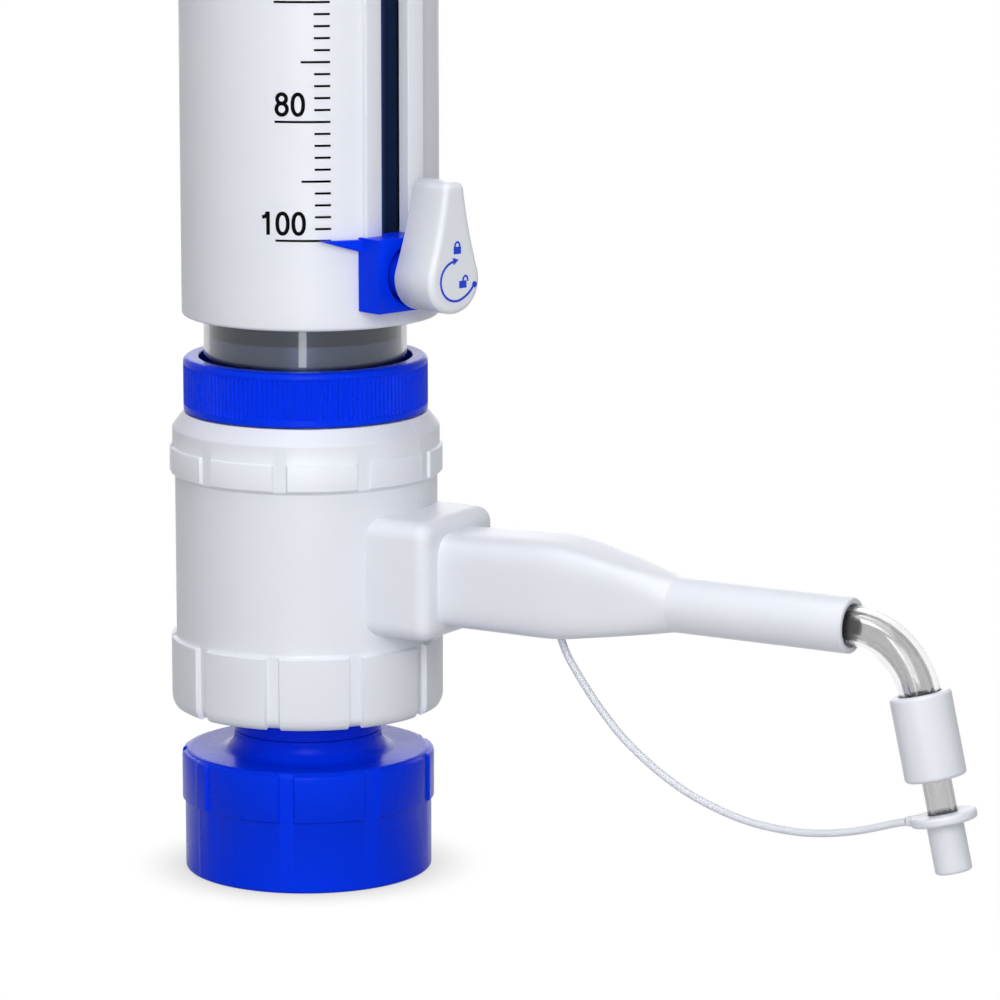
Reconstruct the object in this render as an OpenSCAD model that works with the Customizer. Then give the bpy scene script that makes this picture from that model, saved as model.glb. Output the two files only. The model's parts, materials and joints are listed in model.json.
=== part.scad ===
// Bottle-top dispenser with a sliding volume stop, for bottles with a 45 mm screw neck.
// Frame: the origin is on the bottle's axis at the underside of the cap, +Z is up,
// and the delivery arm points along +X. Sizes are in millimetres, angles in degrees.

/* [Dose] */
// Bore of the measuring cylinder
bore_d = 32.3; // [30:0.1:33.5]
// Largest dose, in millilitres
dose_max = 100; // [60:10:100]
// Smallest dose that the volume stop can be set to, in millilitres
dose_min = 10; // [10:5:40]

/* [Clearances] */
// Radial clearance of a part that turns or slides in another
run_gap = 0.05; // [0.03:0.01:0.1]
// Clearance of a part that is fixed in another
seat_gap = 0.02; // [0.01:0.01:0.05]
// Axial play between parts that turn on each other
axial_gap = 0.2; // [0.1:0.05:0.4]
// Play of the volume stop in its slot and on its rail
slide_gap = 0.2; // [0.1:0.05:0.3]

/* [Bottle cap] */
// Radius of the wall that carries the bottle thread
thread_r = 22.75; // [22:0.05:24]
// Length of the threaded wall
thread_l = 15.2; // [12:0.1:18]
// Wall of the cap outside the thread
nut_wall = 3.55; // [3:0.05:5]
// Thickness of the cap's roof
nut_roof = 5; // [4:0.1:7]
// Height of the flared collar on the roof
flare_h = 4.2; // [3.6:0.1:7]
// Hollow fillet at the foot of the flared collar
flare_fillet = 3; // [1:0.1:3.4]
// Number of grip pads round the cap
nut_pads = 9; // [6:1:12]
// Gap between two grip pads, in degrees
nut_pad_gap = 6; // [4:0.5:10]
// Direction of a gap between two grip pads, from the arm
nut_pad_start = -27; // [-40:1:0]
// How far the grip pads stand out
nut_pad_t = 0.6; // [0.3:0.1:1.2]
// Height of the grip pads
nut_pad_h = 10; // [6:0.5:14]

/* [Neck and intake] */
// Radius of the neck that turns in the cap
neck_r = 14.15; // [13:0.05:14.6]
// Radius of the neck's collar above the cap
collar_r = 15.7; // [15.3:0.1:17]
// Height of the neck's collar above the cap
collar_h = 5.2; // [4:0.1:8]
// Radius of the neck's flange inside the cap
flange_r = 19.5; // [18:0.1:20]
// Thickness of the neck's flange
flange_t = 3.5; // [2:0.1:5]
// Thickness of the bottle gasket
gasket_t = 1.8; // [1:0.1:3]
// Radius of the neck's threaded end in the housing
neck_thread_r = 12; // [11:0.1:13]
// Length of the neck's threaded end in the housing
neck_thread_l = 10; // [8:0.5:12]
// Radius of the socket round the intake nipple
socket_r = 10.2; // [9:0.1:11]
// Outer radius of the intake nipple
nipple_r = 4; // [3.5:0.1:4.5]
// Radius of the bore in the nipple and the valve seats
flow_r = 2.2; // [1.5:0.1:2.4]

/* [Valves] */
// Radius of the inlet valve's cartridge
valve_r = 6.5; // [6:0.1:7]
// Radius of the inlet ball
inlet_ball_r = 3.5; // [3:0.1:3.8]
// Radius of the outlet ball
outlet_ball_r = 3.2; // [2.8:0.1:3.4]
// Half angle of the conical seats
seat_angle = 40; // [35:1:45]
// How far a ball lifts off its seat
ball_lift = 1.5; // [1:0.1:2]
// Radius of the outlet valve's cartridge
outlet_r = 7; // [6:0.1:8]
// Wire of the outlet spring
spring_wire = 0.5; // [0.4:0.05:0.7]
// Number of turns of the outlet spring
spring_turns = 4; // [3:1:5]

/* [Valve housing] */
// Radius of the housing between its two pad bands
body_r = 27.75; // [27.5:0.05:30]
// Height of the housing, up to the union ring
body_h = 63.3; // [60:0.1:70]
// How far the two pad bands stand out from the housing
band_t = 0.5; // [0.3:0.1:1]
// How far the pads stand out from their bands
pad_t = 0.6; // [0.3:0.1:1.2]
// Number of pads in each band
body_pads = 10; // [6:1:14]
// Gap between two pads of a band, in degrees
body_pad_gap = 5; // [3:0.5:8]
// Height of the lower pad band
low_band_h = 16; // [12:0.5:17]
// Height of the pads in the upper band
top_pad_h = 5.5; // [4:0.5:7]
// Height of the upper band's plain part above its pads
top_plain_h = 3.7; // [2:0.1:5]
// Height of the chamfer under the union ring
shoulder_h = 3.2; // [2:0.1:5]
// Height of the arm's axis above the housing's underside
arm_up = 30.8; // [29:0.1:33]
// Height of the cylinder's floor above the housing's underside
floor_up = 44.5; // [43:0.1:46]
// Half the width of the boss that carries the arm
boss_w = 14.1; // [12:0.1:15]
// Half the height of the boss
boss_h = 12.6; // [12:0.1:14]
// Height of the boss's centre above the arm's axis
boss_lift = 0.9; // [0:0.1:2]
// How far the boss stands out from the housing's axis
boss_x = 38.3; // [35:0.1:42]
// Rounding of the boss
boss_round = 2.9; // [2:0.1:4.5]

/* [Cylinder] */
// Wall of the glass measuring cylinder
glass_wall = 2; // [1.2:0.1:2.4]
// Air gap between the glass and the metal jacket
jacket_air = 1.6; // [0.5:0.1:2]
// Wall of the metal jacket
jacket_wall = 0.5; // [0.3:0.1:1]
// Wall of the clear guard tube
guard_wall = 0.96; // [0.8:0.02:1.5]
// Gap between the jacket and the guard tube
guard_air = 0.22; // [0.1:0.02:0.6]
// Height of the piston
piston_h = 12; // [10:0.5:16]
// Radius of the piston rod
rod_r = 5; // [4:0.1:7]
// Height of the piston above the cylinder's gasket at rest
piston_up = 1.5; // [0.5:0.1:3]

/* [Union ring] */
// Height of the union ring
ring_h = 11.4; // [10:0.1:14]
// Wall of the union ring outside the housing's spigot
ring_wall = 2.4; // [2:0.1:4]
// Number of ribs of the union ring's knurl
ring_ribs = 148; // [80:2:180]
// Depth of the knurl
knurl_t = 0.3; // [0.2:0.05:0.6]
// Height of the housing's spigot inside the ring
spigot_h = 7.2; // [6:0.1:8]
// Thickness of the guard tube's foot flange
foot_t = 1.4; // [1:0.1:2]

/* [Sleeve] */
// Gap between the union ring and the sleeve at rest
sleeve_gap = 9.1; // [4:0.1:14]
// Thinnest wall of the sleeve
sleeve_wall = 1.03; // [0.9:0.01:2]
// How far the sleeve's outside is set off towards its slot
sleeve_shift = 1.8; // [1.6:0.05:3]
// Direction of the slot, from the arm
slot_angle = -16.5; // [-30:0.5:-10]
// Width of the slot
slot_w = 6.8; // [6:0.1:8]
// Width of the raised rail on both sides of the slot
rib_w = 4.6; // [3:0.1:5]
// Thickness of the sleeve's roof
roof_t = 3; // [2:0.1:5]
// Height of the blue cap on the sleeve
top_cap_h = 14; // [10:0.5:20]
// Number of ribs of the top cap's knurl
top_ribs = 72; // [48:2:96]
// Rounding of the sleeve's lower rim
rim_round = 0.8; // [0.3:0.1:0.9]

/* [Stop rail] */
// Depth of the rail on the guard tube
rail_depth = 2.2; // [1.9:0.1:2.5]
// Half the width of the rail
rail_half = 5.8; // [4.5:0.1:6.5]
// Thickness of the rail's base
rail_base = 0.95; // [0.6:0.05:1]
// Height of the zero stop at the top of the rail
zero_h = 10; // [6:0.5:14]

/* [Volume stop] */
// Height of the slider
slider_h = 15.3; // [14:0.1:18]
// Width of the slider
slider_w = 18; // [17.5:0.1:20]
// How far the slider stands out from the rail's face
slider_depth = 4.9; // [3:0.1:6]
// Height of the slider above the sleeve's rim
slider_up = 4; // [4:0.1:10]
// Height of the lever's axis above the slider's underside
pivot_up = 7.5; // [6.4:0.1:8]
// Height of the tongue that meets the zero stop
tongue_h = 3.4; // [2:0.1:3.6]
// Width of the tongue
tongue_w = 5.8; // [4:0.1:6]
// Length of the pointer's arc, in degrees
pointer_arc = 37; // [30:1:50]
// Height of the pointer where it leaves the slider
pointer_h = 2.6; // [2:0.1:4]
// Thickness of the pointer
pointer_t = 1.3; // [0.8:0.1:2]
// Thickness of the clamp shoe behind the sleeve's wall
shoe_t = 1.4; // [1:0.1:1.4]
// Width of the clamp shoe
shoe_w = 13.6; // [11:0.1:13.8]
// Radius of the clamp stud
stud_r = 2; // [1.5:0.1:2.2]
// Pitch of the clamp stud's thread
stud_pitch = 0.7; // [0.5:0.05:0.8]
// Turn of the lever between locked and free, in degrees
lever_turn = 270; // [90:15:270]

/* [Lever] */
// Gap between the slider and the lever
lever_gap = 2.3; // [2:0.1:5]
// Thickness of the lever
lever_t = 11.3; // [8:0.1:14]
// Radius of the lever round its axis
lever_r = 6.9; // [6:0.1:7.5]
// Length of the lever above its axis
lever_l = 20.2; // [16:0.1:24]
// Half the width of the lever's tip
lever_tip = 2.8; // [2.6:0.1:4]
// Rounding of the lever's front edge
lever_round = 1.2; // [0.6:0.1:1.6]
// Radius of the hub between the slider and the lever
hub_r = 5; // [3.5:0.1:5.4]
// Radius of the recess round the hub
recess_r = 6.4; // [5.6:0.1:6.6]

/* [Delivery arm] */
// Half the width of the arm at the boss
arm_w = 9.2; // [8:0.1:11]
// Half the height of the arm at the boss
arm_h = 9.9; // [8:0.1:11]
// Height of the arm's centre above the tube's axis, at the boss
arm_lift = 0.5; // [0:0.1:1]
// How much the arm's top rises from the boss to the taper
arm_rise = 0.8; // [0:0.1:1.5]
// Where the arm starts to taper, from the axis
taper_start = 61; // [56:0.5:66]
// Where the taper ends in the round tube, from the axis
taper_end = 90; // [80:0.5:95]
// Where the arm ends, from the axis
arm_end = 130; // [115:0.5:140]
// Outer radius of the arm's round tube
arm_tube_r = 5.7; // [5.4:0.1:6.5]

/* [Delivery tube] */
// Outer radius of the inner tube
inner_r = 3; // [2.6:0.1:3.1]
// Bore radius of the inner tube
inner_bore = 1.8; // [1:0.1:2]
// Outer radius of the clear outer tube
outer_r = 4.4; // [4.2:0.1:4.8]
// Bore radius of the clear outer tube
outer_bore = 3.3; // [3.25:0.05:3.6]
// How far the bend starts beyond the arm's end, or before it where below 0
bend_start = -0.2; // [-0.2:0.1:3]
// Radius of the bend, to the tube's axis
bend_r = 15.8; // [12:0.1:18]
// Angle of the bend
bend_angle = 77; // [60:1:90]
// How far the collar starts beyond the end of the bend, or before it where below 0
collar_drop = -0.2; // [-0.2:0.1:4]
// Length of the collar
tip_collar_l = 17.3; // [10:0.1:20]
// Radius of the collar
tip_collar_r = 6.25; // [6:0.05:8]
// Bare tube between the collar and the tip cap
tip_show = 7; // [4:0.1:12]
// Length of the tube inside the tip cap
tip_in = 7.5; // [4:0.1:9]

/* [Tip cap] */
// Length of the tip cap
cap_l = 12.1; // [10:0.1:14]
// Radius of the tip cap's body
cap_r = 3.75; // [3.6:0.05:5]
// Radius of the tip cap's flange
cap_flange_r = 6.75; // [6:0.05:8]
// Thickness of the tip cap's flange
cap_flange_t = 2; // [1.6:0.1:3]
// Width of the tether
tether_d = 1.6; // [1.2:0.1:2]

/* [Hidden] */
$fn = 96;

blue = "#0a35d8";
white = "#e6e8ec";
navy = "#16233f";
tiny = 0.01;

// Lengths that follow from the dose and the bore
mm_per_ml = 1000 / (PI * pow(bore_d / 2, 2));
stroke = dose_max * mm_per_ml;
stop_travel = (dose_max - dose_min) * mm_per_ml;

// Heights, from the underside of the cap upwards
gasket_lip = 0.2;
z_gasket = thread_l + gasket_lip;
z_flange = z_gasket + gasket_t;
z_roof_in = z_flange + flange_t + axial_gap;
z_nut_top = z_roof_in + nut_roof;
z_flare = z_nut_top + flare_h;
z_collar = z_flare + axial_gap;
z_body = z_collar + collar_h;
z_neck_end = z_body + neck_thread_l;
z_arm = z_body + arm_up;
z_floor = z_body + floor_up;
z_top = z_body + body_h;
z_spigot = z_top + spigot_h;
ring_foot_gap = 0.3;
z_ring = z_top + ring_foot_gap;
z_ring_top = z_ring + ring_h;
cyl_gasket_t = 1.5;
z_glass = z_floor + cyl_gasket_t;
z_piston = z_glass + piston_up;
z_glass_top = z_piston + piston_h + stroke + 4;
glass_seat_h = 6;
z_guard = z_glass + glass_seat_h;
z_sleeve = z_ring_top + sleeve_gap;
z_slider = z_sleeve + slider_up;
z_slider_top = z_slider + slider_h;
z_pivot = z_slider + pivot_up;
tongue_up = 0.3;
z_tongue = z_slider + tongue_up;
z_tongue_top = z_tongue + tongue_h;
stop_gap = 0.1;
z_zero = z_tongue_top + stroke + stop_gap;
z_guard_top = z_zero + zero_h;
rail_up = 1.9;
z_rail = z_sleeve + rail_up;
roof_room = 6;
z_roof = z_guard_top + roof_room;
z_sleeve_top = z_roof + roof_t;

// Radii, from the measuring cylinder outwards
bore_r = bore_d / 2;
glass_r = bore_r + glass_wall;
jacket_in = glass_r + jacket_air;
jacket_r = jacket_in + jacket_wall;
guard_in = jacket_r + guard_air;
guard_r = guard_in + guard_wall;
rail_in = guard_r + seat_gap;
rail_r = rail_in + rail_depth;
rail_air = 0.6;
zero_r = rail_r + rail_air - run_gap;
sleeve_in = zero_r + run_gap;
sleeve_r = sleeve_in + sleeve_shift + sleeve_wall;
spigot_wall = 1.9;
spigot_r = guard_r + seat_gap + spigot_wall;
foot_r = spigot_r;
ring_in = spigot_r + run_gap;
ring_r = ring_in + ring_wall;
ring_lip_r = guard_r + 1.1;
nut_r = thread_r + nut_wall;
gasket_r = flange_r + 0.7;
nut_hole_r = neck_r + run_gap;
band_r = body_r + band_t;
pad_r = band_r + pad_t;

// Distances out along the slot's direction
rail_face = sleeve_shift + sleeve_r;
lip_in = rail_face - 2.85;
shoe_out = lip_in - run_gap;
shoe_in = shoe_out - shoe_t;
clamp_travel = stud_pitch * lever_turn / 360;
slot_half = slot_w / 2;
key_half = slot_half - slide_gap;
rib_half = slot_half + rib_w;
tee_half = shoe_w / 2 + slide_gap;
key_in = lip_in + slide_gap;
tongue_in = rail_in + rail_base + 0.3;
channel_half = tongue_w / 2 + slide_gap + 0.1;
slider_front = rail_face + slider_depth;
hub_floor = rail_face + 0.7;
lever_back = slider_front + lever_gap;
lever_front = lever_back + lever_t;
stud_end = lever_front - 2.9;
hub_in_lever = 2.5;
slider_cap_gap = 1;
z_slot_top = z_slider_top + stop_travel + slider_cap_gap;
z_slot = z_slider - 0.4;

// Piston and rod
rod_thread_r = 3;
rod_nut_h = 4;
rod_in_head = 4;
head_r = bore_r - 0.5;
z_groove = z_piston + 4;
z_groove_top = z_groove + 3;
groove_r = head_r - 1.5;

// Valve train: a ball rests in a cone that widens from the flow bore
seat_depth = 2;
ball_air = 0.03;
function seat_to_ball(ball_r) =
    ball_r / sin(seat_angle) - flow_r / tan(seat_angle) + ball_air;
nipple_flange_t = 3;
nipple_drop = 0.4;
nipple_root_r = nipple_r + 0.6;
z_ledge = z_collar;
ledge_t = 2;
z_nipple_flange = z_ledge + ledge_t;
z_inlet_seat = z_nipple_flange + nipple_flange_t;
z_inlet_cage = z_neck_end;
z_inlet_ball = z_inlet_cage - seat_depth + seat_to_ball(inlet_ball_r);
cage_top_t = 1.5;
cage_air = 0.1;
z_cage_stop = z_inlet_ball + inlet_ball_r + ball_lift + cage_air;
z_cage_top = z_cage_stop + cage_top_t;
cage_in = inlet_ball_r + 1;
chamber_r = 5;
outlet_x = 18;
outlet_seat_l = 6.5;
outlet_seat_end = outlet_x + outlet_seat_l;
outlet_ball_x = outlet_seat_end - seat_depth + seat_to_ball(outlet_ball_r);
holder_end = boss_x - 0.2;
tube_start = holder_end - 3.7;
holder_in = outlet_ball_r + 0.6;
spring_start = outlet_ball_x + outlet_ball_r + 0.05;
spring_end = tube_start - 0.05;
spring_r = holder_in - 0.3 - spring_wire / 2;

// Delivery tube and tip
outer_tube_start = 100;
bend_x = arm_end + bend_start;
tip_x = bend_x + bend_r * sin(bend_angle);
tip_z = z_arm - bend_r * (1 - cos(bend_angle));
tip_tilt = bend_angle - 90;
collar_hold = 5;
s_collar_end = collar_drop + tip_collar_l;
s_cap = s_collar_end + tip_show;
s_tube_end = s_cap + tip_in;
lug_l = 1.6;

// The tether's route in the plane y = 0, from the arm to the tip cap's flange
anchor_x = 62.5;
z_anchor = 56.3;
tether_route = [
    [62.5, 56.3], [64, 53], [66, 50], [68.2, 47], [70.6, 44], [73.3, 41],
    [76.2, 38], [79.4, 35.3], [82.8, 32.8], [86.4, 30.5], [90.2, 28.4], [94.2, 26.6],
    [98.4, 25.1], [102.6, 23.9], [107, 23], [111.4, 22.5], [115.8, 22.3], [120.2, 22.4],
    [124.6, 22.9], [129, 23.7], [133.3, 24.8], [137.4, 26.1], [140, 26.95], [142.5, 27.6]
];

// Skin over a list of closed rings that all have the same number of points.
// The first and the last ring are closed by flat faces.
module skin(rings) {
    n = len(rings[0]);
    m = len(rings);
    points = [for (ring = rings) for (p = ring) p];
    sides = [
        for (i = [0:m - 2])
            for (j = [0:n - 1])
                [i * n + j, i * n + (j + 1) % n, (i + 1) * n + (j + 1) % n, (i + 1) * n + j]
    ];
    first = [for (j = [n - 1:-1:0]) j];
    last = [for (j = [0:n - 1]) (m - 1) * n + j];
    polyhedron(points, concat(sides, [first], [last]), convexity = 6);
}

module tube(r_out, r_in, z0, z1) {
    difference() {
        translate([0, 0, z0])
            cylinder(r = r_out, h = z1 - z0);
        translate([0, 0, z0 - 1])
            cylinder(r = r_in, h = z1 - z0 + 2);
    }
}

// Cylinder along X
module rod_x(r, x0, x1) {
    translate([x0, 0, 0])
        rotate([0, 90, 0])
            cylinder(r = r, h = x1 - x0);
}

module cone_x(r0, r1, x0, x1) {
    translate([x0, 0, 0])
        rotate([0, 90, 0])
            cylinder(r1 = r0, r2 = r1, h = x1 - x0);
}

// Frame of the slot: X is out through the slot, Y along the sleeve's wall
module at_slot() {
    rotate([0, 0, slot_angle])
        children();
}

// Frame of the tip: the origin is the end of the bend and the tube runs down -Z
module at_tip() {
    translate([tip_x, 0, tip_z])
        rotate([0, tip_tilt, 0])
            children();
}

// Equal pads round the Z axis, with a gap centred on the angle given
module pad_ring(r_in, r_out, z0, z1, count, gap, start) {
    pitch = 360 / count;
    for (i = [0:count - 1])
        rotate([0, 0, start + i * pitch + gap / 2])
            rotate_extrude(angle = pitch - gap)
                translate([r_in, z0])
                    square([r_out - r_in, z1 - z0]);
}

// Outline of a knurled ring, as ribs between two radii
function knurl(r_out, depth, ribs) = [
    for (i = [0:4 * ribs - 1])
        let (a = i * 90 / ribs, r = (i % 4 < 2) ? r_out : r_out - depth)
            [r * cos(a), r * sin(a)]
];

module bottle_nut() {
    edge = 0.6;
    pad_root = 0.5;
    gasket_air = 0.3;
    z_pads = z_nut_top - edge - 0.1;
    color(blue)
    union() {
        difference() {
            rotate_extrude()
                polygon(concat(
                    [
                        [0, 0], [nut_r - edge, 0], [nut_r, edge],
                        [nut_r, z_nut_top - edge], [nut_r - edge, z_nut_top]
                    ],
                    [
                        for (a = [0:15:90])
                            [collar_r + flare_fillet * (1 - sin(a)),
                                z_nut_top + flare_fillet * (1 - cos(a))]
                    ],
                    [[collar_r, z_flare], [0, z_flare]]
                ));
            translate([0, 0, -1])
                cylinder(r = thread_r, h = thread_l + 1);
            cylinder(r = gasket_r + gasket_air, h = z_roof_in);
            cylinder(r = nut_hole_r, h = z_flare + 1);
        }
        pad_ring(nut_r - pad_root, nut_r + nut_pad_t, z_pads - nut_pad_h, z_pads,
            nut_pads, nut_pad_gap, nut_pad_start);
    }
}

module neck_insert() {
    color(blue)
    difference() {
        union() {
            translate([0, 0, z_flange])
                cylinder(r = flange_r, h = flange_t);
            translate([0, 0, z_flange])
                cylinder(r = neck_r, h = z_collar - z_flange + tiny);
            translate([0, 0, z_collar])
                cylinder(r = collar_r, h = collar_h);
            translate([0, 0, z_collar])
                cylinder(r = neck_thread_r, h = z_neck_end - z_collar);
        }
        translate([0, 0, z_flange - 1])
            cylinder(r = socket_r, h = z_ledge - z_flange + 1);
        cylinder(r = nipple_root_r + seat_gap, h = z_nipple_flange + tiny);
        translate([0, 0, z_nipple_flange])
            cylinder(r = valve_r + seat_gap, h = z_neck_end);
    }
}

module bottle_gasket() {
    color("#e9e6dc")
    tube(gasket_r, socket_r + 0.8, z_gasket, z_flange);
}

module intake_nipple() {
    z_low = thread_l + nipple_drop;
    lead = 4;
    color("#eef0f2")
    difference() {
        union() {
            translate([0, 0, z_low + lead])
                cylinder(r = nipple_r, h = z_ledge - z_low - lead);
            translate([0, 0, z_low])
                cylinder(r1 = nipple_r - 0.7, r2 = nipple_r, h = lead);
            translate([0, 0, z_ledge])
                cylinder(r = nipple_root_r, h = ledge_t);
            translate([0, 0, z_nipple_flange])
                cylinder(r = valve_r, h = nipple_flange_t);
        }
        translate([0, 0, z_low - 1])
            cylinder(r = flow_r, h = z_inlet_seat);
    }
}

module inlet_valve_seat() {
    z_cone = z_inlet_cage - seat_depth;
    color("#f2f2ee")
    difference() {
        translate([0, 0, z_inlet_seat])
            cylinder(r = valve_r, h = z_inlet_cage - z_inlet_seat);
        translate([0, 0, z_inlet_seat - 1])
            cylinder(r = flow_r, h = z_inlet_cage);
        translate([0, 0, z_cone])
            cylinder(r1 = flow_r, r2 = flow_r + (seat_depth + 1) * tan(seat_angle), h = seat_depth + 1);
    }
}

module inlet_valve_cage() {
    ports = 4;
    port_r = 1.1;
    color("#f2f2ee")
    difference() {
        translate([0, 0, z_inlet_cage])
            cylinder(r = valve_r, h = z_cage_top - z_inlet_cage);
        translate([0, 0, z_inlet_cage - 1])
            cylinder(r = cage_in, h = z_cage_stop - z_inlet_cage + 1);
        for (i = [0:ports - 1])
            rotate([0, 0, i * 360 / ports])
                translate([cage_in - port_r - 0.3, 0, z_cage_stop - 1])
                    cylinder(r = port_r, h = cage_top_t + 2);
    }
}

module inlet_ball() {
    color("#d8dade")
    translate([0, 0, z_inlet_ball])
        sphere(r = inlet_ball_r);
}

// Half section of the housing's outside, from the axis outwards
function housing_section() =
    let (foot = 2.2, skirt = 1.9, edge = 0.5,
        z_low_band = z_body + low_band_h,
        z_shoulder = z_top - shoulder_h,
        z_top_band = z_shoulder - top_plain_h - top_pad_h - edge)
    [
        [0, z_body - skirt], [collar_r + 1.4, z_body - skirt], [collar_r + 6, z_body],
        [band_r - foot, z_body],
        for (a = [15:15:75]) [band_r - foot + foot * sin(a), z_body + foot - foot * cos(a)],
        [band_r, z_body + foot],
        [band_r, z_low_band - edge], [body_r, z_low_band],
        [body_r, z_top_band - edge], [band_r, z_top_band],
        [band_r, z_shoulder], [ring_r, z_top], [spigot_r, z_top],
        [spigot_r, z_spigot], [0, z_spigot]
    ];

module valve_housing() {
    boss_mid = z_arm + boss_lift;
    core_x = 18;
    color(white)
    difference() {
        union() {
            rotate_extrude()
                polygon(housing_section());
            pad_ring(body_r - 1, pad_r, z_body + 2.2, z_body + low_band_h - 1,
                body_pads, body_pad_gap, 0);
            pad_ring(body_r - 1, pad_r, z_top - shoulder_h - top_plain_h - top_pad_h,
                z_top - shoulder_h - top_plain_h, body_pads, body_pad_gap, 4);
            hull()
                for (x = [core_x, boss_x - boss_round], y = [-1, 1], z = [-1, 1])
                    translate([x, y * (boss_w - boss_round), boss_mid + z * (boss_h - boss_round)])
                        sphere(r = boss_round, $fn = 32);
        }
        translate([0, 0, z_body - 4])
            cylinder(r = collar_r + seat_gap, h = 4);
        translate([0, 0, z_body - 1])
            cylinder(r = neck_thread_r + seat_gap, h = neck_thread_l + 1);
        translate([0, 0, z_body])
            cylinder(r = valve_r + seat_gap, h = z_cage_top - z_body);
        translate([0, 0, z_body])
            cylinder(r = chamber_r, h = floor_up + 1);
        translate([0, 0, z_floor])
            cylinder(r = glass_r + seat_gap, h = body_h);
        translate([0, 0, z_guard])
            cylinder(r = guard_r + seat_gap, h = body_h);
        translate([0, 0, z_arm]) {
            rod_x(flow_r, 0, outlet_x + 1);
            rod_x(outlet_r + seat_gap, outlet_x, boss_x + 1);
        }
    }
}

module outlet_valve_seat() {
    cone_x0 = outlet_seat_end - seat_depth;
    wide = flow_r + (seat_depth + 1) * tan(seat_angle);
    color("#f2f2ee")
    translate([0, 0, z_arm])
        difference() {
            rod_x(outlet_r, outlet_x, outlet_seat_end);
            rod_x(flow_r, outlet_x - 1, outlet_seat_end);
            cone_x(flow_r, wide, cone_x0, outlet_seat_end + 1);
        }
}

module outlet_valve_holder() {
    color("#f2f2ee")
    translate([0, 0, z_arm])
        difference() {
            rod_x(outlet_r, outlet_seat_end, holder_end);
            rod_x(holder_in, outlet_seat_end - 1, tube_start);
            rod_x(inner_r + seat_gap, tube_start - 1, holder_end + 1);
        }
}

module outlet_ball() {
    color("#d8dade")
    translate([outlet_ball_x, 0, z_arm])
        sphere(r = outlet_ball_r);
}

// Ring of points round a helix of radius r, at the turn t of a spring along X
function coil_ring(t, sides) =
    let (span = spring_end - spring_start - spring_wire,
        x = spring_start + spring_wire / 2 + span * t / spring_turns,
        a = 360 * t)
    [
        for (j = [0:sides - 1])
            let (b = j * 360 / sides, r = spring_r + spring_wire / 2 * cos(b))
                [x + spring_wire / 2 * sin(b), r * cos(a), z_arm + r * sin(a)]
    ];

module outlet_spring() {
    steps = 16;
    color("#b9bcc2")
    skin([for (i = [0:steps * spring_turns]) coil_ring(i / steps, 6)]);
}

// Share of the taper done at u, from 0 to 1, with a soft start and a firm end
function taper(u) =
    let (soft = 0.25, v = min(max(u, 0), 1))
    v < soft ? v * v / (soft * (2 - soft)) : (2 * v - soft) / (2 - soft);

// Section of the arm at x: a superellipse that turns from a soft box into a circle
function arm_ring(x, sides) =
    let (s = taper((x - taper_start) / (taper_end - taper_start)),
        rise = arm_rise / 2 * min((x - boss_x) / (taper_start - boss_x), 1),
        w = arm_w + (arm_tube_r - arm_w) * s,
        h = arm_h + rise + (arm_tube_r - arm_h - rise) * s,
        power = 4.4 - 2.4 * pow(s, 3),
        lift = (arm_lift + rise) * (1 - s))
    [
        for (j = [0:sides - 1])
            let (a = j * 360 / sides, c = cos(a), d = sin(a))
                [x, w * sign(c) * pow(abs(c), 2 / power), z_arm + lift + h * sign(d) * pow(abs(d), 2 / power)]
    ];

module discharge_arm() {
    steps = 10;
    anchor_hole = tether_d / 2 + 0.7 + seat_gap;
    stations = concat(
        [boss_x],
        [for (i = [0:steps]) taper_start + (taper_end - taper_start) * i / steps],
        [arm_end]
    );
    color(white)
    difference() {
        skin([for (x = stations) arm_ring(x, 48)]);
        translate([0, 0, z_arm])
            rod_x(outer_r + seat_gap, boss_x - 1, arm_end + 1);
        translate([anchor_x, 0, z_anchor - 1])
            cylinder(r = anchor_hole, h = 6);
    }
}

// Ring of points round the bent tube's axis: at the distance x along the arm while the
// angle is 0, then round the bend, then at the distance s down the tip
function bent_ring(r, x, angle, s, sides) =
    let (c = cos(angle), d = sin(angle))
    [
        for (j = [0:sides - 1])
            let (a = j * 360 / sides, up = r * cos(a), side = r * sin(a))
                [x + (bend_r + up) * d + s * c, side, z_arm - bend_r + (bend_r + up) * c - s * d]
    ];

// Tube along the arm, round the bend and down to the tip
module bent_tube(r_out, r_in, x0, s_end) {
    steps = 11;
    sides = 32;
    module path(r, reach) {
        skin(concat(
            [bent_ring(r, x0 - reach, 0, 0, sides)],
            [for (i = [0:steps]) bent_ring(r, bend_x, bend_angle * i / steps, 0, sides)],
            [bent_ring(r, bend_x, bend_angle, s_end + reach, sides)]
        ));
    }
    difference() {
        path(r_out, 0);
        path(r_in, 1);
    }
}

module discharge_tube() {
    color("#dfe6ea", 0.7)
    bent_tube(inner_r, inner_bore, tube_start, s_tube_end);
}

module outer_tube() {
    color("#e8eef2", 0.5)
    bent_tube(outer_r, outer_bore, outer_tube_start, collar_drop + collar_hold);
}

module tip_collar() {
    edge = 0.5;
    s_step = collar_drop + collar_hold;
    color(white)
    at_tip()
        difference() {
            rotate_extrude()
                polygon([
                    [0, -s_collar_end], [tip_collar_r - edge, -s_collar_end],
                    [tip_collar_r, -s_collar_end + edge], [tip_collar_r, -collar_drop - edge],
                    [tip_collar_r - edge, -collar_drop], [0, -collar_drop]
                ]);
            translate([0, 0, -s_step - seat_gap])
                cylinder(r = outer_r + seat_gap, h = s_step + 1);
            translate([0, 0, -s_collar_end - 1])
                cylinder(r = inner_r + seat_gap, h = s_collar_end + 1);
        }
}

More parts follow.
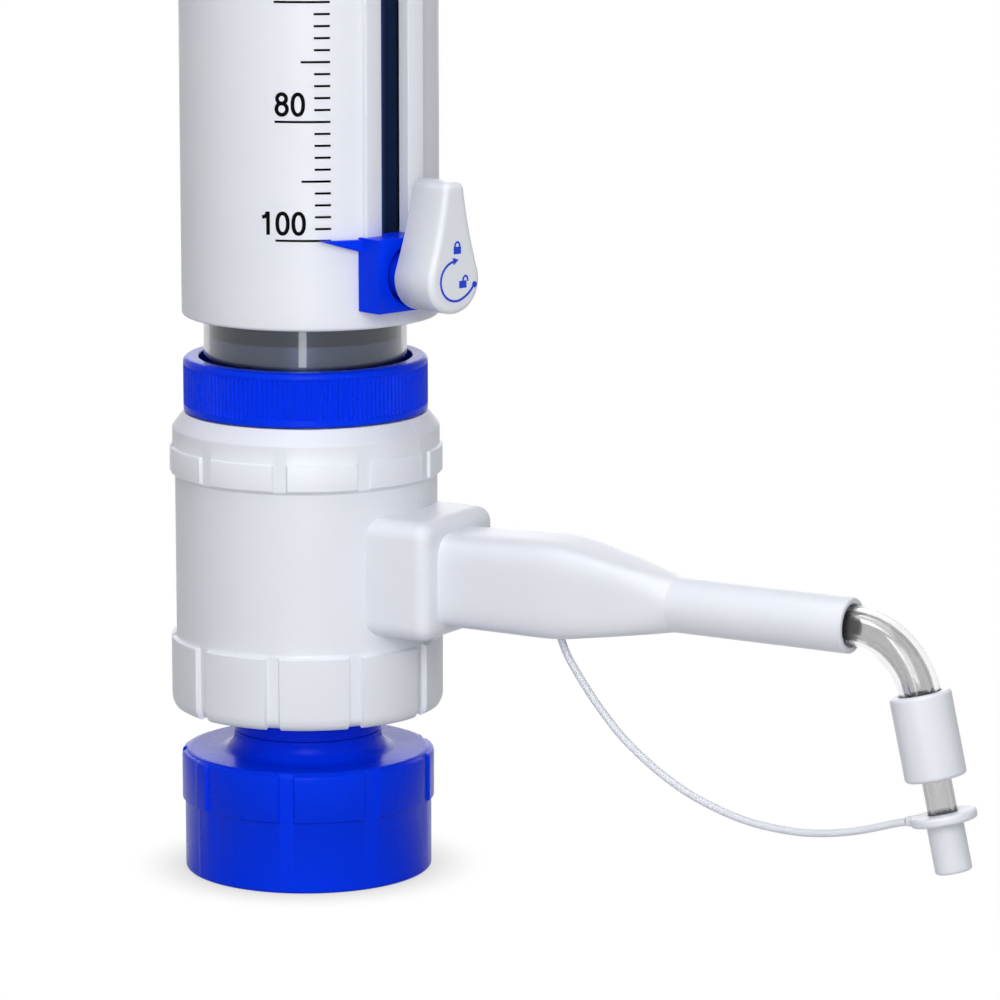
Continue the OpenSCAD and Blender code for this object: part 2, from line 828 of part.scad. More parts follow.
module tip_cap() {
    floor_t = cap_l - tip_in - 0.5;
    color(white)
    at_tip()
        translate([0, 0, -s_cap])
            difference() {
                union() {
                    translate([0, 0, -cap_flange_t])
                        cylinder(r = cap_flange_r, h = cap_flange_t);
                    translate([0, 0, -cap_l])
                        cylinder(r = cap_r, h = cap_l);
                    translate([-cap_flange_r - lug_l, -tether_d / 2, -cap_flange_t])
                        cube([lug_l + 2, tether_d, cap_flange_t]);
                }
                translate([0, 0, -cap_l + floor_t])
                    cylinder(r = inner_r + run_gap, h = cap_l);
            }
}

module tether_anchor() {
    color(white)
    translate([anchor_x, 0, z_anchor])
        cylinder(r = tether_d / 2 + 0.7, h = 5 - seat_gap);
}

// Ring of points round the tether at the point i of its route
function tether_ring(i, sides) =
    let (n = len(tether_route),
        p = tether_route[i],
        ahead = tether_route[min(i + 1, n - 1)],
        behind = tether_route[max(i - 1, 0)],
        run = (i == 0) ? [0, -1] : ahead - behind,
        side = [-run[1], run[0]] / norm(run))
    [
        for (j = [0:sides - 1])
            let (b = j * 360 / sides, c = tether_d / 2 * cos(b))
                [p[0] + side[0] * c, tether_d / 2 * sin(b), p[1] + side[1] * c]
    ];

module cap_tether() {
    color(white)
    skin([for (i = [0:len(tether_route) - 1]) tether_ring(i, 8)]);
}

module cylinder_gasket() {
    color("#3a3d42")
    tube(glass_r, bore_r, z_floor, z_glass);
}

module measuring_cylinder() {
    color("#dfe8ee", 0.4)
    tube(glass_r, bore_r, z_glass, z_glass_top);
}

module cylinder_jacket() {
    color("#9a9da3")
    tube(jacket_r, jacket_in, z_guard, z_glass_top);
}

module guard_tube() {
    color("#e8eef2", 0.4)
    difference() {
        union() {
            translate([0, 0, z_guard])
                cylinder(r = guard_r, h = z_guard_top - z_guard);
            translate([0, 0, z_spigot])
                cylinder(r = foot_r, h = foot_t);
        }
        translate([0, 0, z_guard - 1])
            cylinder(r = guard_in, h = z_guard_top);
    }
}

module union_ring() {
    top_edge = 0.9;
    low_edge = 1.4;
    z_lip = z_spigot + foot_t + run_gap;
    color(blue)
    difference() {
        union() {
            rotate_extrude()
                polygon([
                    [0, z_ring], [ring_r - 0.3, z_ring], [ring_r, z_ring + 0.4],
                    [ring_r, z_ring + low_edge], [ring_r - knurl_t, z_ring + low_edge],
                    [ring_r - knurl_t, z_ring_top - top_edge],
                    [ring_r - knurl_t - top_edge, z_ring_top], [0, z_ring_top]
                ]);
            translate([0, 0, z_ring + low_edge])
                linear_extrude(height = ring_h - low_edge - top_edge - 0.4)
                    polygon(knurl(ring_r - 0.05, knurl_t, ring_ribs));
        }
        translate([0, 0, z_ring - 1])
            cylinder(r = ring_in, h = z_lip - z_ring + 1);
        translate([0, 0, z_ring])
            cylinder(r = ring_lip_r, h = ring_h + 1);
    }
}

module stop_rail() {
    color(navy)
    at_slot()
        translate([0, 0, z_rail])
            linear_extrude(height = z_zero - z_rail)
                difference() {
                    intersection() {
                        difference() {
                            circle(r = rail_r);
                            circle(r = rail_in);
                        }
                        translate([0, -rail_half])
                            square([rail_r + 1, 2 * rail_half]);
                    }
                    translate([rail_in + rail_base, -channel_half])
                        square([rail_depth + 1, 2 * channel_half]);
                }
}

module zero_stop() {
    color(navy)
    tube(zero_r, guard_r + seat_gap, z_zero, z_guard_top);
}

module outer_sleeve() {
    h = z_sleeve_top - z_sleeve;
    rib_drop = 1;
    slot_in = sleeve_in - 4;
    color(white)
    difference() {
        union() {
            at_slot()
                translate([sleeve_shift, 0, z_sleeve])
                    rotate_extrude()
                        union() {
                            translate([0, rim_round])
                                square([sleeve_r, h - rim_round]);
                            square([sleeve_r - rim_round, h]);
                            translate([sleeve_r - rim_round, rim_round])
                                circle(r = rim_round);
                        }
            at_slot()
                translate([sleeve_in, -rib_half, z_slider + rib_drop])
                    cube([rail_face - sleeve_in, 2 * rib_half, z_sleeve_top - z_slider - rib_drop]);
        }
        translate([0, 0, z_sleeve - 1])
            cylinder(r = sleeve_in, h = z_roof - z_sleeve + 1);
        translate([0, 0, z_roof - 1])
            cylinder(r = rod_thread_r + seat_gap, h = roof_t + 2);
        at_slot() {
            translate([slot_in, -slot_half, z_slot])
                cube([rail_face + 1 - slot_in, slot_w, z_slot_top - z_slot]);
            translate([slot_in, -tee_half, z_slot])
                cube([lip_in - slot_in, 2 * tee_half, z_slot_top - z_slot]);
        }
    }
}

module top_cap() {
    edge = 1.2;
    plain_h = 2;
    top_knurl_t = 0.6;
    pocket_r = 7;
    z0 = z_sleeve_top + seat_gap;
    cap_top_r = sleeve_r - 0.4;
    core_r = cap_top_r - top_knurl_t;
    color(blue)
    difference() {
        at_slot()
            translate([sleeve_shift, 0, z0]) {
                rotate_extrude()
                    polygon([
                        [0, 0], [cap_top_r, 0], [cap_top_r, plain_h], [core_r, plain_h],
                        [core_r, top_cap_h - edge], [core_r - edge, top_cap_h], [0, top_cap_h]
                    ]);
                translate([0, 0, plain_h])
                    linear_extrude(height = top_cap_h - plain_h - edge - 0.2)
                        polygon(knurl(cap_top_r - 0.05, top_knurl_t, top_ribs));
            }
        translate([0, 0, z0 - 1])
            cylinder(r = pocket_r, h = rod_nut_h + 3);
    }
}

module rod_nut() {
    color("#b9bcc2")
    difference() {
        translate([0, 0, z_sleeve_top + seat_gap])
            cylinder(r = 5.8, h = rod_nut_h, $fn = 6);
        translate([0, 0, z_sleeve_top - 1])
            cylinder(r = rod_thread_r + seat_gap, h = rod_nut_h + 3);
    }
}

module piston_rod() {
    z_foot = z_piston + piston_h - rod_in_head;
    color("#d9dce0")
    union() {
        translate([0, 0, z_foot])
            cylinder(r = rod_r, h = z_roof - seat_gap - z_foot);
        translate([0, 0, z_roof - 1])
            cylinder(r = rod_thread_r, h = roof_t + rod_nut_h + 1.6);
    }
}

module piston_head() {
    low_edge = 1;
    top_edge = 2;
    z_head = z_piston + piston_h;
    color("#f2f2ee")
    difference() {
        rotate_extrude()
            polygon([
                [0, z_piston], [head_r - low_edge, z_piston], [head_r, z_piston + low_edge],
                [head_r, z_groove], [groove_r, z_groove],
                [groove_r, z_groove_top], [head_r, z_groove_top],
                [head_r, z_head - top_edge], [head_r - top_edge, z_head], [0, z_head]
            ]);
        translate([0, 0, z_head - rod_in_head - seat_gap])
            cylinder(r = rod_r + seat_gap, h = rod_in_head + 1);
    }
}

module piston_seal() {
    color("#f7f7f4")
    tube(bore_r - run_gap, groove_r + seat_gap, z_groove + seat_gap, z_groove_top - seat_gap);
}

module stop_slider() {
    half = slider_w / 2;
    back = sleeve_shift + sqrt(pow(sleeve_r, 2) - pow(half, 2)) - 1;
    color(blue)
    at_slot()
        difference() {
            union() {
                difference() {
                    translate([back, -half, z_slider])
                        cube([slider_front - back, slider_w, slider_h]);
                    translate([sleeve_shift, 0, z_slider - 1])
                        cylinder(r = sleeve_r + slide_gap, h = slider_h + 2);
                    translate([0, -rib_half - slide_gap, z_slider - 1])
                        cube([rail_face + slide_gap / 2, 2 * (rib_half + slide_gap), slider_h + 2]);
                }
                translate([key_in, -key_half, z_slider])
                    cube([hub_floor - key_in, 2 * key_half, slider_h]);
                translate([tongue_in, -tongue_w / 2, z_tongue])
                    cube([key_in - tongue_in + tiny, tongue_w, tongue_h]);
                pointer();
            }
            translate([0, 0, z_pivot]) {
                rod_x(recess_r, hub_floor, slider_front + 1);
                rod_x(stud_r + run_gap, key_in - 1, hub_floor + 1);
            }
        }
}

// Wedge that wraps round the sleeve and ends in a point at the scale's mark
module pointer() {
    aim = 27;
    reach = sleeve_r + 4;
    overlap = 1.1;
    z_tip = z_slider_top - 0.4;
    tip_y = -sleeve_r * sin(pointer_arc - aim);
    root_y = sleeve_r * sin(aim) - slider_w / 2 + overlap;
    translate([sleeve_shift, 0, 0])
        intersection() {
            tube(sleeve_r + slide_gap + pointer_t, sleeve_r + slide_gap,
                z_tip - pointer_h - 1, z_tip);
            rotate([0, 0, -aim])
                rotate([90, 0, 90])
                    linear_extrude(height = reach)
                        polygon([
                            [tip_y, z_tip], [root_y, z_tip - pointer_h], [root_y, z_slider_top]
                        ]);
        }
}

module clamp_shoe() {
    z0 = z_tongue_top + 0.5;
    color("#c9ccd1")
    at_slot()
        difference() {
            translate([shoe_in, -shoe_w / 2, z0])
                cube([shoe_t, shoe_w, z_slider_top - 1.9 - z0]);
            translate([0, 0, z_pivot])
                rod_x(stud_r + seat_gap, shoe_in - 1, shoe_out + 1);
        }
}

module clamp_stud() {
    color("#b9bcc2")
    at_slot()
        translate([0, 0, z_pivot])
            rod_x(stud_r, shoe_in, stud_end);
}

module lever_hub() {
    color(blue)
    at_slot()
        translate([0, 0, z_pivot])
            difference() {
                rod_x(hub_r, hub_floor + run_gap, lever_back + hub_in_lever);
                rod_x(stud_r + run_gap, hub_floor - 1, lever_back + hub_in_lever + 1);
            }
}

// Points on the right side of the lever's outline, from the bottom to the top
function lever_side(grow) =
    let (r = lever_r + grow, w = lever_tip + grow, top = lever_l + grow, c = 1.7,
        a = 18,
        p0 = [r * cos(a), r * sin(a)],
        p1 = [w + 1.1, lever_l * 0.52],
        p2 = [w, top - c])
    concat(
        [for (i = [0:7]) let (b = -90 + (90 + a) * i / 8) [r * cos(b), r * sin(b)]],
        [for (i = [0:6]) let (t = i / 6) p0 * pow(1 - t, 2) + p1 * 2 * t * (1 - t) + p2 * pow(t, 2)],
        [for (i = [1:4]) let (b = 90 * i / 4) [w - c + c * cos(b), top - c + c * sin(b)]]
    );

// Closed outline of the lever, set in or out by grow, at the distance x from the axis
function lever_ring(x, grow) =
    let (right = lever_side(grow),
        n = len(right),
        left = [for (i = [n - 1:-1:1]) [-right[i][0], right[i][1]]])
    [for (p = concat(right, left)) [x, p[0], z_pivot + p[1]]];

module lock_lever() {
    steps = 4;
    front = [
        for (i = [0:steps])
            let (a = 90 * i / steps)
                lever_ring(lever_front - lever_round * (1 - sin(a)), lever_round * (cos(a) - 1))
    ];
    color(white)
    at_slot()
        difference() {
            skin(concat([lever_ring(lever_back, -0.3), lever_ring(lever_back + 0.3, 0)], front));
            translate([0, 0, z_pivot]) {
                rod_x(stud_r + run_gap, lever_back - 1, stud_end + 0.4);
                rod_x(hub_r + seat_gap, lever_back - 1, lever_back + hub_in_lever + seat_gap);
            }
        }
}

bottle_nut();
neck_insert();
bottle_gasket();
intake_nipple();
inlet_valve_seat();
inlet_valve_cage();
valve_housing();
outlet_valve_seat();
outlet_valve_holder();
outlet_spring();
discharge_arm();
discharge_tube();
outer_tube();
tip_collar();
tether_anchor();
cap_tether();
cylinder_gasket();
measuring_cylinder();
cylinder_jacket();
guard_tube();
union_ring();
stop_rail();
zero_stop();
outer_sleeve();
top_cap();
rod_nut();
piston_rod();
piston_head();
piston_seal();
stop_slider();
clamp_shoe();
clamp_stud();
lever_hub();
lock_lever();
inlet_ball();
outlet_ball();
tip_cap();
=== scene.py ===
# %% [markdown]
# # A bottle-top dispenser over its CAD frame
# The object is a hand pump that screws onto a reagent bottle. A white sleeve is lifted to
# draw liquid in and pushed down to send it through the arm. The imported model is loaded
# first and is never changed: it gives every size and place. What shows is then made
# again as smooth surfaces, and each finish is worked out from the real material.

# %% Load the frame
import json
import math

import bmesh
import bpy
import numpy as np
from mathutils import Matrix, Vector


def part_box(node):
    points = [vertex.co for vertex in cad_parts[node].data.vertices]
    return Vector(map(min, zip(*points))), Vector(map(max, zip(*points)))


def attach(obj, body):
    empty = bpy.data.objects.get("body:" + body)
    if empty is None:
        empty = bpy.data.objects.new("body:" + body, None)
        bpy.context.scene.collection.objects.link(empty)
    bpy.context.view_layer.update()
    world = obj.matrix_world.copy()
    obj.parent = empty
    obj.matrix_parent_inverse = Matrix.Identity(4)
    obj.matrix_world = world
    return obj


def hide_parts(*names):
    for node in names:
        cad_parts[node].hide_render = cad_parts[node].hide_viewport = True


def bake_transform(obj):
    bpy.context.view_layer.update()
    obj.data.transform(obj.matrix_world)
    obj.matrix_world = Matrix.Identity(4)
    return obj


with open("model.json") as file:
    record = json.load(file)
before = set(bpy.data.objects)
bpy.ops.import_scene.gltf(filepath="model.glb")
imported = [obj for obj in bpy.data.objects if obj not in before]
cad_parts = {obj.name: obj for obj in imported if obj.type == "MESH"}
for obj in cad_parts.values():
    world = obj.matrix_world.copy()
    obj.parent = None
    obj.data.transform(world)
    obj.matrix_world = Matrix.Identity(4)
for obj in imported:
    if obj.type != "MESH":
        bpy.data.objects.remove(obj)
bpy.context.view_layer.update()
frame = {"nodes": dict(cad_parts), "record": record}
nodes = frame["nodes"]
MM = 0.001

# %% [markdown]
# The frame is in metres and the shapes are easier to think of in millimetres, so two
# small functions read a node's lowest and highest corner in millimetres.

# %% Corners of a node
def low(node):
    return np.array(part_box(node)[0]) / MM


def high(node):
    return np.array(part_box(node)[1]) / MM


# %% [markdown]
# ## The camera
# The photograph looks from the front and right of the arm, a little from above, with a
# long lens that keeps the upright lines nearly parallel. The place and the angles were
# found from points whose height and radius are known. The sleeve's top lies outside.

# %% Camera
CAMERA_PLACE = (0.59284, -0.90705, 0.28306)
CAMERA_TURN = math.radians(31)
CAMERA_DIP = math.radians(10.66)
FOCAL_PIXELS = 5200
FRAME_PIXELS = 1000
SENSOR = 36

lens = bpy.data.cameras.new("camera")
lens.sensor_width = SENSOR
lens.lens = FOCAL_PIXELS * SENSOR / FRAME_PIXELS
lens.clip_start = 0.05
lens.clip_end = 30
camera = bpy.data.objects.new("camera", lens)
camera.location = CAMERA_PLACE
camera.rotation_euler = (math.pi / 2 - CAMERA_DIP, 0, CAMERA_TURN)
bpy.context.scene.collection.objects.link(camera)
bpy.context.scene.camera = camera
print("lens of", lens.lens, "mm")

# %% [markdown]
# ## Tools for making surfaces
# A shape is a grid of points worked out with numpy as whole arrays: rows run along a
# profile and columns run round it. Points that meet at a pole or a seam are merged, so
# each mesh is closed, and its volume's sign says which way the faces have to point.

# %% Faces of a grid
def grid_faces(rows, cols, wrap_rows=True, wrap_cols=True):
    """Face (i, j) joins the points (i, j), (i, j + 1), (i + 1, j + 1) and (i + 1, j)."""
    i = np.arange(rows if wrap_rows else rows - 1)[:, None]
    j = np.arange(cols if wrap_cols else cols - 1)[None, :]
    right = (j + 1) % cols
    above = (i + 1) % rows
    corners = (i * cols + j, i * cols + right, above * cols + right, above * cols + j)
    return np.stack(np.broadcast_arrays(*corners), -1).reshape(-1, 4)


# %% Merge points and split faces
def merged(points, faces):
    """Points within a ten-thousandth of a millimetre become one. A face keeps four
    corners, or three where two of them met, and goes where it has no area left."""
    key = np.round(points.reshape(-1, 3) * 1e4).astype(np.int64)
    _, first, index = np.unique(key, axis=0, return_index=True, return_inverse=True)
    faces = index.reshape(-1)[faces]
    same = faces == np.roll(faces, -1, axis=1)
    whole = faces[~same.any(axis=1)]
    thin = faces[same.sum(axis=1) == 1]
    start = np.argmax(same[same.sum(axis=1) == 1], axis=1)[:, None]
    thin = np.take_along_axis(thin, (start + np.array([1, 2, 3])) % 4, axis=1)
    return points.reshape(-1, 3)[first], whole, thin


# %% Make a piece
def volume(points, triangles):
    """Sum of the signed volumes of the tetrahedra from the origin to each triangle."""
    a, b, c = (points[triangles[:, k]] for k in range(3))
    return np.einsum("ij,ij->i", a, np.cross(b, c)).sum() / 6


def placed(name, mesh, body, finish, replaces):
    """An object with one finish. It rides on its body, where it is given one, and shows in
    place of CAD nodes."""
    mesh.materials.clear()
    mesh.materials.append(finish)
    made = bpy.data.objects.new(name, mesh)
    bpy.context.scene.collection.objects.link(made)
    if body:
        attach(made, body)
    if replaces:
        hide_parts(*replaces)
    return made


def piece(name, points, faces, body, finish, replaces=(), sharp=35):
    """Makes a mesh of points in mm and turns its faces outwards."""
    points, quads, triangles = merged(np.asarray(points, float), faces)
    halves = np.concatenate([quads[:, [0, 1, 2]], quads[:, [0, 2, 3]], triangles])
    if volume(points, halves) < 0:
        quads, triangles = quads[:, ::-1], triangles[:, ::-1]
    mesh = bpy.data.meshes.new(name)
    mesh.vertices.add(len(points))
    mesh.vertices.foreach_set("co", (points * MM).ravel())
    corners = np.concatenate([quads.ravel(), triangles.ravel()])
    sizes = np.concatenate([np.full(len(quads), 4), np.full(len(triangles), 3)])
    mesh.loops.add(len(corners))
    mesh.loops.foreach_set("vertex_index", corners)
    mesh.polygons.add(len(sizes))
    mesh.polygons.foreach_set("loop_start", np.cumsum(sizes) - sizes)
    mesh.polygons.foreach_set("loop_total", sizes)
    mesh.polygons.foreach_set("use_smooth", np.ones(len(sizes), bool))
    mesh.update(calc_edges=True)
    mesh.validate()
    mesh.set_sharp_from_angle(angle=math.radians(sharp))
    print(name, len(halves), "triangles")
    return placed(name, mesh, body, finish, replaces)


def grid_piece(name, rings, body, finish, replaces=(), sharp=35, wrap_rows=True):
    """A piece from a grid of points whose columns close round it."""
    faces = grid_faces(*rings.shape[:2], wrap_rows=wrap_rows)
    return piece(name, rings, faces, body, finish, replaces, sharp)


# %% [markdown]
# Moulded and turned pieces have no sharp edges. A profile is therefore given as a few
# corners, each with its own radius, and every corner becomes an arc. A point just
# before and just after each arc keeps the flats beside it flat when they are shaded.

# %% Rounded profile
HOLD = 0.05


def rounded(corners, steps=5):
    """Closed outline of corners (x, y, radius). The arc's centre lies on the corner's
    bisector, and its points are the start and end spokes mixed by sines."""
    spot = np.array([corner[:2] for corner in corners], float)
    radius = np.array([corner[2] for corner in corners], float)[:, None]
    back = np.roll(spot, 1, axis=0) - spot
    ahead = np.roll(spot, -1, axis=0) - spot
    back /= np.linalg.norm(back, axis=1, keepdims=True)
    ahead /= np.linalg.norm(ahead, axis=1, keepdims=True)
    half = np.arccos(np.clip((back * ahead).sum(axis=1), -1, 1))[:, None] / 2
    reach = radius / np.tan(half)
    bisector = back + ahead
    bisector /= np.linalg.norm(bisector, axis=1, keepdims=True) + 1e-12
    centre = spot + bisector * radius / np.sin(half)
    swing = np.pi - 2 * half
    t = np.linspace(0, 1, steps + 1)[None, :, None]
    first = np.sin((1 - t) * swing[:, None]) / np.sin(swing[:, None])
    last = np.sin(t * swing[:, None]) / np.sin(swing[:, None])
    start, end = spot + back * reach, spot + ahead * reach
    arcs = centre[:, None] + (start - centre)[:, None] * first + (end - centre)[:, None] * last
    points = np.concatenate([(start + back * HOLD)[:, None], arcs, (end + ahead * HOLD)[:, None]], 1)
    points = points.reshape(-1, 2)
    gap = np.linalg.norm(points - np.roll(points, 1, axis=0), axis=1)
    return points[gap > 1e-6]


# %% [markdown]
# Grip pads, knurls and slots need points close together at their edges and few between
# them. One function lists such places, for an angle as well as for a height. Another
# is the soft step that carries a surface from one level to the next.

# %% Samples and soft steps
def samples(start, end, edges, soft, coarse):
    """Even places no further apart than coarse, with seven close ones at each edge."""
    even = np.linspace(start, end, int(math.ceil((end - start) / coarse)) + 1)
    near = np.add.outer(np.asarray(edges, float), soft * np.linspace(-0.5, 0.5, 7)).ravel()
    near = near[(near > start) & (near < end)]
    away = np.abs(np.subtract.outer(even, near)).min(axis=1) > soft * 0.1 if len(near) else True
    keep = away | (even == start) | (even == end)
    return np.sort(np.concatenate([even[keep], near]))


def step(x, soft):
    """Rises from 0 to 1 as x goes from -soft / 2 to soft / 2, flat at both ends."""
    t = np.clip(x / soft + 0.5, 0, 1)
    return t * t * (3 - 2 * t)


# %% Lathe
def lathe(profile, angles, lift=None):
    """Point (i, j) is the profile's point i, at radius r and height z, turned by angle j
    about the Z axis: (r cos a, r sin a, z). lift(r, z, a) moves it along the profile's
    normal, which is the slope between its neighbours turned right."""
    r, z = profile[:, :1], profile[:, 1:]
    a = np.radians(angles)[None, :]
    if lift is not None:
        slope = np.roll(profile, -1, axis=0) - np.roll(profile, 1, axis=0)
        slope /= np.linalg.norm(slope, axis=1, keepdims=True)
        height = lift(r, z, np.degrees(a))
        r, z = r + height * slope[:, 1:], z - height * slope[:, :1]
    return np.stack(np.broadcast_arrays(r * np.cos(a), r * np.sin(a), z), -1)


def with_rows(outline, spots, soft):
    """The outline with seven close points round each spot (r, z). A spot is put at its
    nearest place on the outline, as a length along it."""
    ends = np.roll(outline, -1, axis=0)
    along = ends - outline
    length = np.linalg.norm(along, axis=1)
    arc = np.concatenate([[0], np.cumsum(length)])
    from_start = np.asarray(spots, float)[:, None] - outline[None]
    t = np.clip((from_start * along).sum(-1) / length**2, 0, 1)
    away = np.linalg.norm(from_start - t[..., None] * along, axis=-1)
    side = away.argmin(axis=1)
    place = arc[side] + t[np.arange(len(side)), side] * length[side]
    near = np.add.outer(place, soft * np.linspace(-0.5, 0.5, 7)).ravel()
    places = np.unique(np.concatenate([arc[:-1], near[(near > 0) & (near < arc[-1])]]))
    closed = np.concatenate([outline, outline[:1]])
    return np.stack([np.interp(places, arc, closed[:, k]) for k in range(2)], 1)


def round_angles(count):
    """Even angles for a full turn, in degrees."""
    return np.arange(count) * 360 / count


def turned(points, degrees):
    """The points turned about the Z axis."""
    a = math.radians(degrees)
    spin = np.array([[math.cos(a), -math.sin(a), 0], [math.sin(a), math.cos(a), 0], [0, 0, 1]])
    return points @ spin.T


# %% [markdown]
# ## The finishes
# Every finish is a procedural material that reads Object coordinates, in metres, so a
# pattern's scale is one over its real size. Colours are written as sRGB hex values, as
# a paint chart would give them, and one function turns them to the linear values that
# the renderer works in.

# %% Colour and node helpers
def paint(hex_colour):
    """Each channel c of an sRGB colour is c / 12.92 up to 0.04045, and above that
    ((c + 0.055) / 1.055) to the power 2.4."""
    c = np.array([int(hex_colour[k : k + 2], 16) for k in (1, 3, 5)]) / 255
    linear = np.where(c <= 0.04045, c / 12.92, ((c + 0.055) / 1.055) ** 2.4)
    return (*linear.tolist(), 1.0)


def add(tree, kind, sockets=(), **settings):
    """Adds a node. settings are its properties. sockets gives each input a value or the
    output that feeds it."""
    node = tree.nodes.new(kind)
    for key, value in settings.items():
        setattr(node, key, value)
    for key, value in dict(sockets).items():
        if isinstance(value, bpy.types.NodeSocket):
            tree.links.new(value, node.inputs[key])
        else:
            node.inputs[key].default_value = value
    return node


def blank(name, slot):
    """A new material with its output node and the place in Object coordinates. The
    record's slot is noted on it."""
    finish = bpy.data.materials.new(name)
    finish.use_nodes = True
    finish["slot"] = slot
    tree = finish.node_tree
    tree.nodes.clear()
    out = tree.nodes.new("ShaderNodeOutputMaterial")
    return finish, tree, out, add(tree, "ShaderNodeTexCoord").outputs["Object"]


# %% Patterns and ranges
def noise(tree, place, scale, detail, roughness):
    """A noise from 0 to 1 with scale grains per metre."""
    return add(tree, "ShaderNodeTexNoise", {
        "Vector": place, "Scale": scale, "Detail": detail, "Roughness": roughness,
    }).outputs["Fac"]


def remap(tree, value, start, end, first, last, **settings):
    """Carries the range from start to end over to the range from first to last."""
    return add(tree, "ShaderNodeMapRange", {
        "Value": value, "From Min": start, "From Max": end, "To Min": first, "To Max": last,
    }, **settings).outputs["Result"]


def bump(tree, height, depth_mm, strength=1.0):
    """The normal of a skin whose height varies by depth_mm."""
    return add(tree, "ShaderNodeBump", {
        "Height": height, "Strength": strength, "Distance": depth_mm * MM,
    }).outputs["Normal"]


def blended(tree, share, first, second, **settings):
    """A colour that goes from first to second as share goes from 0 to 1."""
    return add(tree, "ShaderNodeMix", {0: share, 6: first, 7: second}, data_type="RGBA",
               **settings).outputs[2]


def base_colour(finish):
    """The material's tree, its shader's colour socket and what feeds that socket."""
    tree = finish.node_tree
    skin = next(node for node in tree.nodes if node.bl_idname == "ShaderNodeBsdfPrincipled")
    socket = skin.inputs["Base Color"]
    return tree, socket, socket.links[0].from_socket


# %% [markdown]
# Moulded polypropylene takes its skin from the steel mould: a soft gloss with a faint
# orange peel a millimetre or so across, and very slight flow shades where the melt
# cooled at its own pace. The peel is a bump, and the flow shades move the colour and
# the roughness by a few hundredths.

# %% Moulded plastic
def moulded(name, slot, colour, shade, roughness, peel_mm, peel_depth_mm, specular, flow_mm=14):
    """Mixes colour and shade by a slow noise, and bumps the skin by a fine one."""
    finish, tree, out, place = blank(name, slot)
    flow = noise(tree, place, 1 / (flow_mm * MM), 3, 0.5)
    peel = noise(tree, place, 1 / (peel_mm * MM), 2, 0.45)
    skin = add(tree, "ShaderNodeBsdfPrincipled", {
        "Base Color": blended(tree, flow, paint(colour), paint(shade)),
        "Roughness": remap(tree, flow, 0.2, 0.8, roughness - 0.03, roughness + 0.04),
        "Normal": bump(tree, peel, peel_depth_mm), "IOR": 1.49, "Specular IOR Level": specular,
    })
    tree.links.new(skin.outputs[0], out.inputs["Surface"])
    return finish


white_plastic = moulded("moulded_white_polypropylene", "white plastic", "#E7E9EF", "#E1E4EB",
                        0.36, 1.1, 0.004, 0.4)
blue_plastic = moulded("moulded_blue_polypropylene", "blue plastic", "#0037EE", "#0032E4",
                       0.27, 0.9, 0.003, 0.06)
navy_plastic = moulded("extruded_navy_plastic", "navy plastic", "#152742", "#101E36",
                       0.32, 0.8, 0.003, 0.4)
print("three moulded plastics")

# %% [markdown]
# The stop rail is extruded navy plastic. Its middle is painted lighter, as a painted
# highlight, and its sides darker, as painted shade in the slot. The change is worked out
# from the distance to the rail's middle plane.

# %% Extruded rail
SLOT_ANGLE = -16.5
# Half widths: the painted highlight fills the middle, and the painted shade is full from the second on.
RAIL_HIGHLIGHT_HALF, RAIL_SHADE_HALF = 1.6, 3.0


def rail_finish():
    """The distance is the absolute dot product of the place and the rail's side vector."""
    finish = moulded("extruded_navy_rail", "navy plastic", "#3C5F9C", "#375893", 0.3, 0.8, 0.002, 0.3)
    tree, socket, tint = base_colour(finish)
    place = add(tree, "ShaderNodeTexCoord").outputs["Object"]
    turn = math.radians(SLOT_ANGLE)
    across = add(tree, "ShaderNodeVectorMath", {0: place, 1: (-math.sin(turn), math.cos(turn), 0)},
                 operation="DOT_PRODUCT").outputs["Value"]
    away = add(tree, "ShaderNodeMath", {0: across}, operation="ABSOLUTE").outputs[0]
    edge = remap(tree, away, RAIL_HIGHLIGHT_HALF * MM, RAIL_SHADE_HALF * MM, 0.0, 1.0,
                 interpolation_type="SMOOTHSTEP")
    # The light tint in the middle is a painted highlight, and the dark navy at the sides is painted
    # shade.
    tree.links.new(blended(tree, edge, tint, paint("#1B2B4E")), socket)
    return finish


navy_rail = rail_finish()

# %% [markdown]
# The valve seats, the nipple and the piston are turned from white fluoropolymer, which
# is waxy and nearly matt. The gaskets are foam and rubber, and the valves' balls are
# polished ceramic. They hide inside, but each still gets its own finish, for the poses
# and for anyone who takes the model apart.

# %% Inner materials
fluoropolymer = moulded("turned_white_fluoropolymer", "white fluoropolymer", "#EEEDE8", "#E4E3DC",
                        0.5, 0.5, 0.006, 0.35)
gasket_foam = moulded("pale_sealing_foam", "gasket foam", "#DCD8CB", "#CFCABA",
                      0.8, 0.4, 0.03, 0.3)
gasket_rubber = moulded("black_moulded_rubber", "gasket rubber", "#2B2D30", "#232427",
                        0.62, 0.5, 0.008, 0.4)
ceramic = moulded("polished_ceramic", "ceramic", "#D9DADC", "#D0D1D4", 0.08, 3.0, 0.001, 0.6)
print("four inner materials")

# %% [markdown]
# The jacket round the glass and the small hardware are drawn and turned steel. A metal
# keeps its default IOR, and its look is in its colour and its fine lines: they run
# along the drawn tube and round the turned stud, so the noise is stretched that way.
# The jacket's colour is also made lighter near its foot, as a painted reflection.

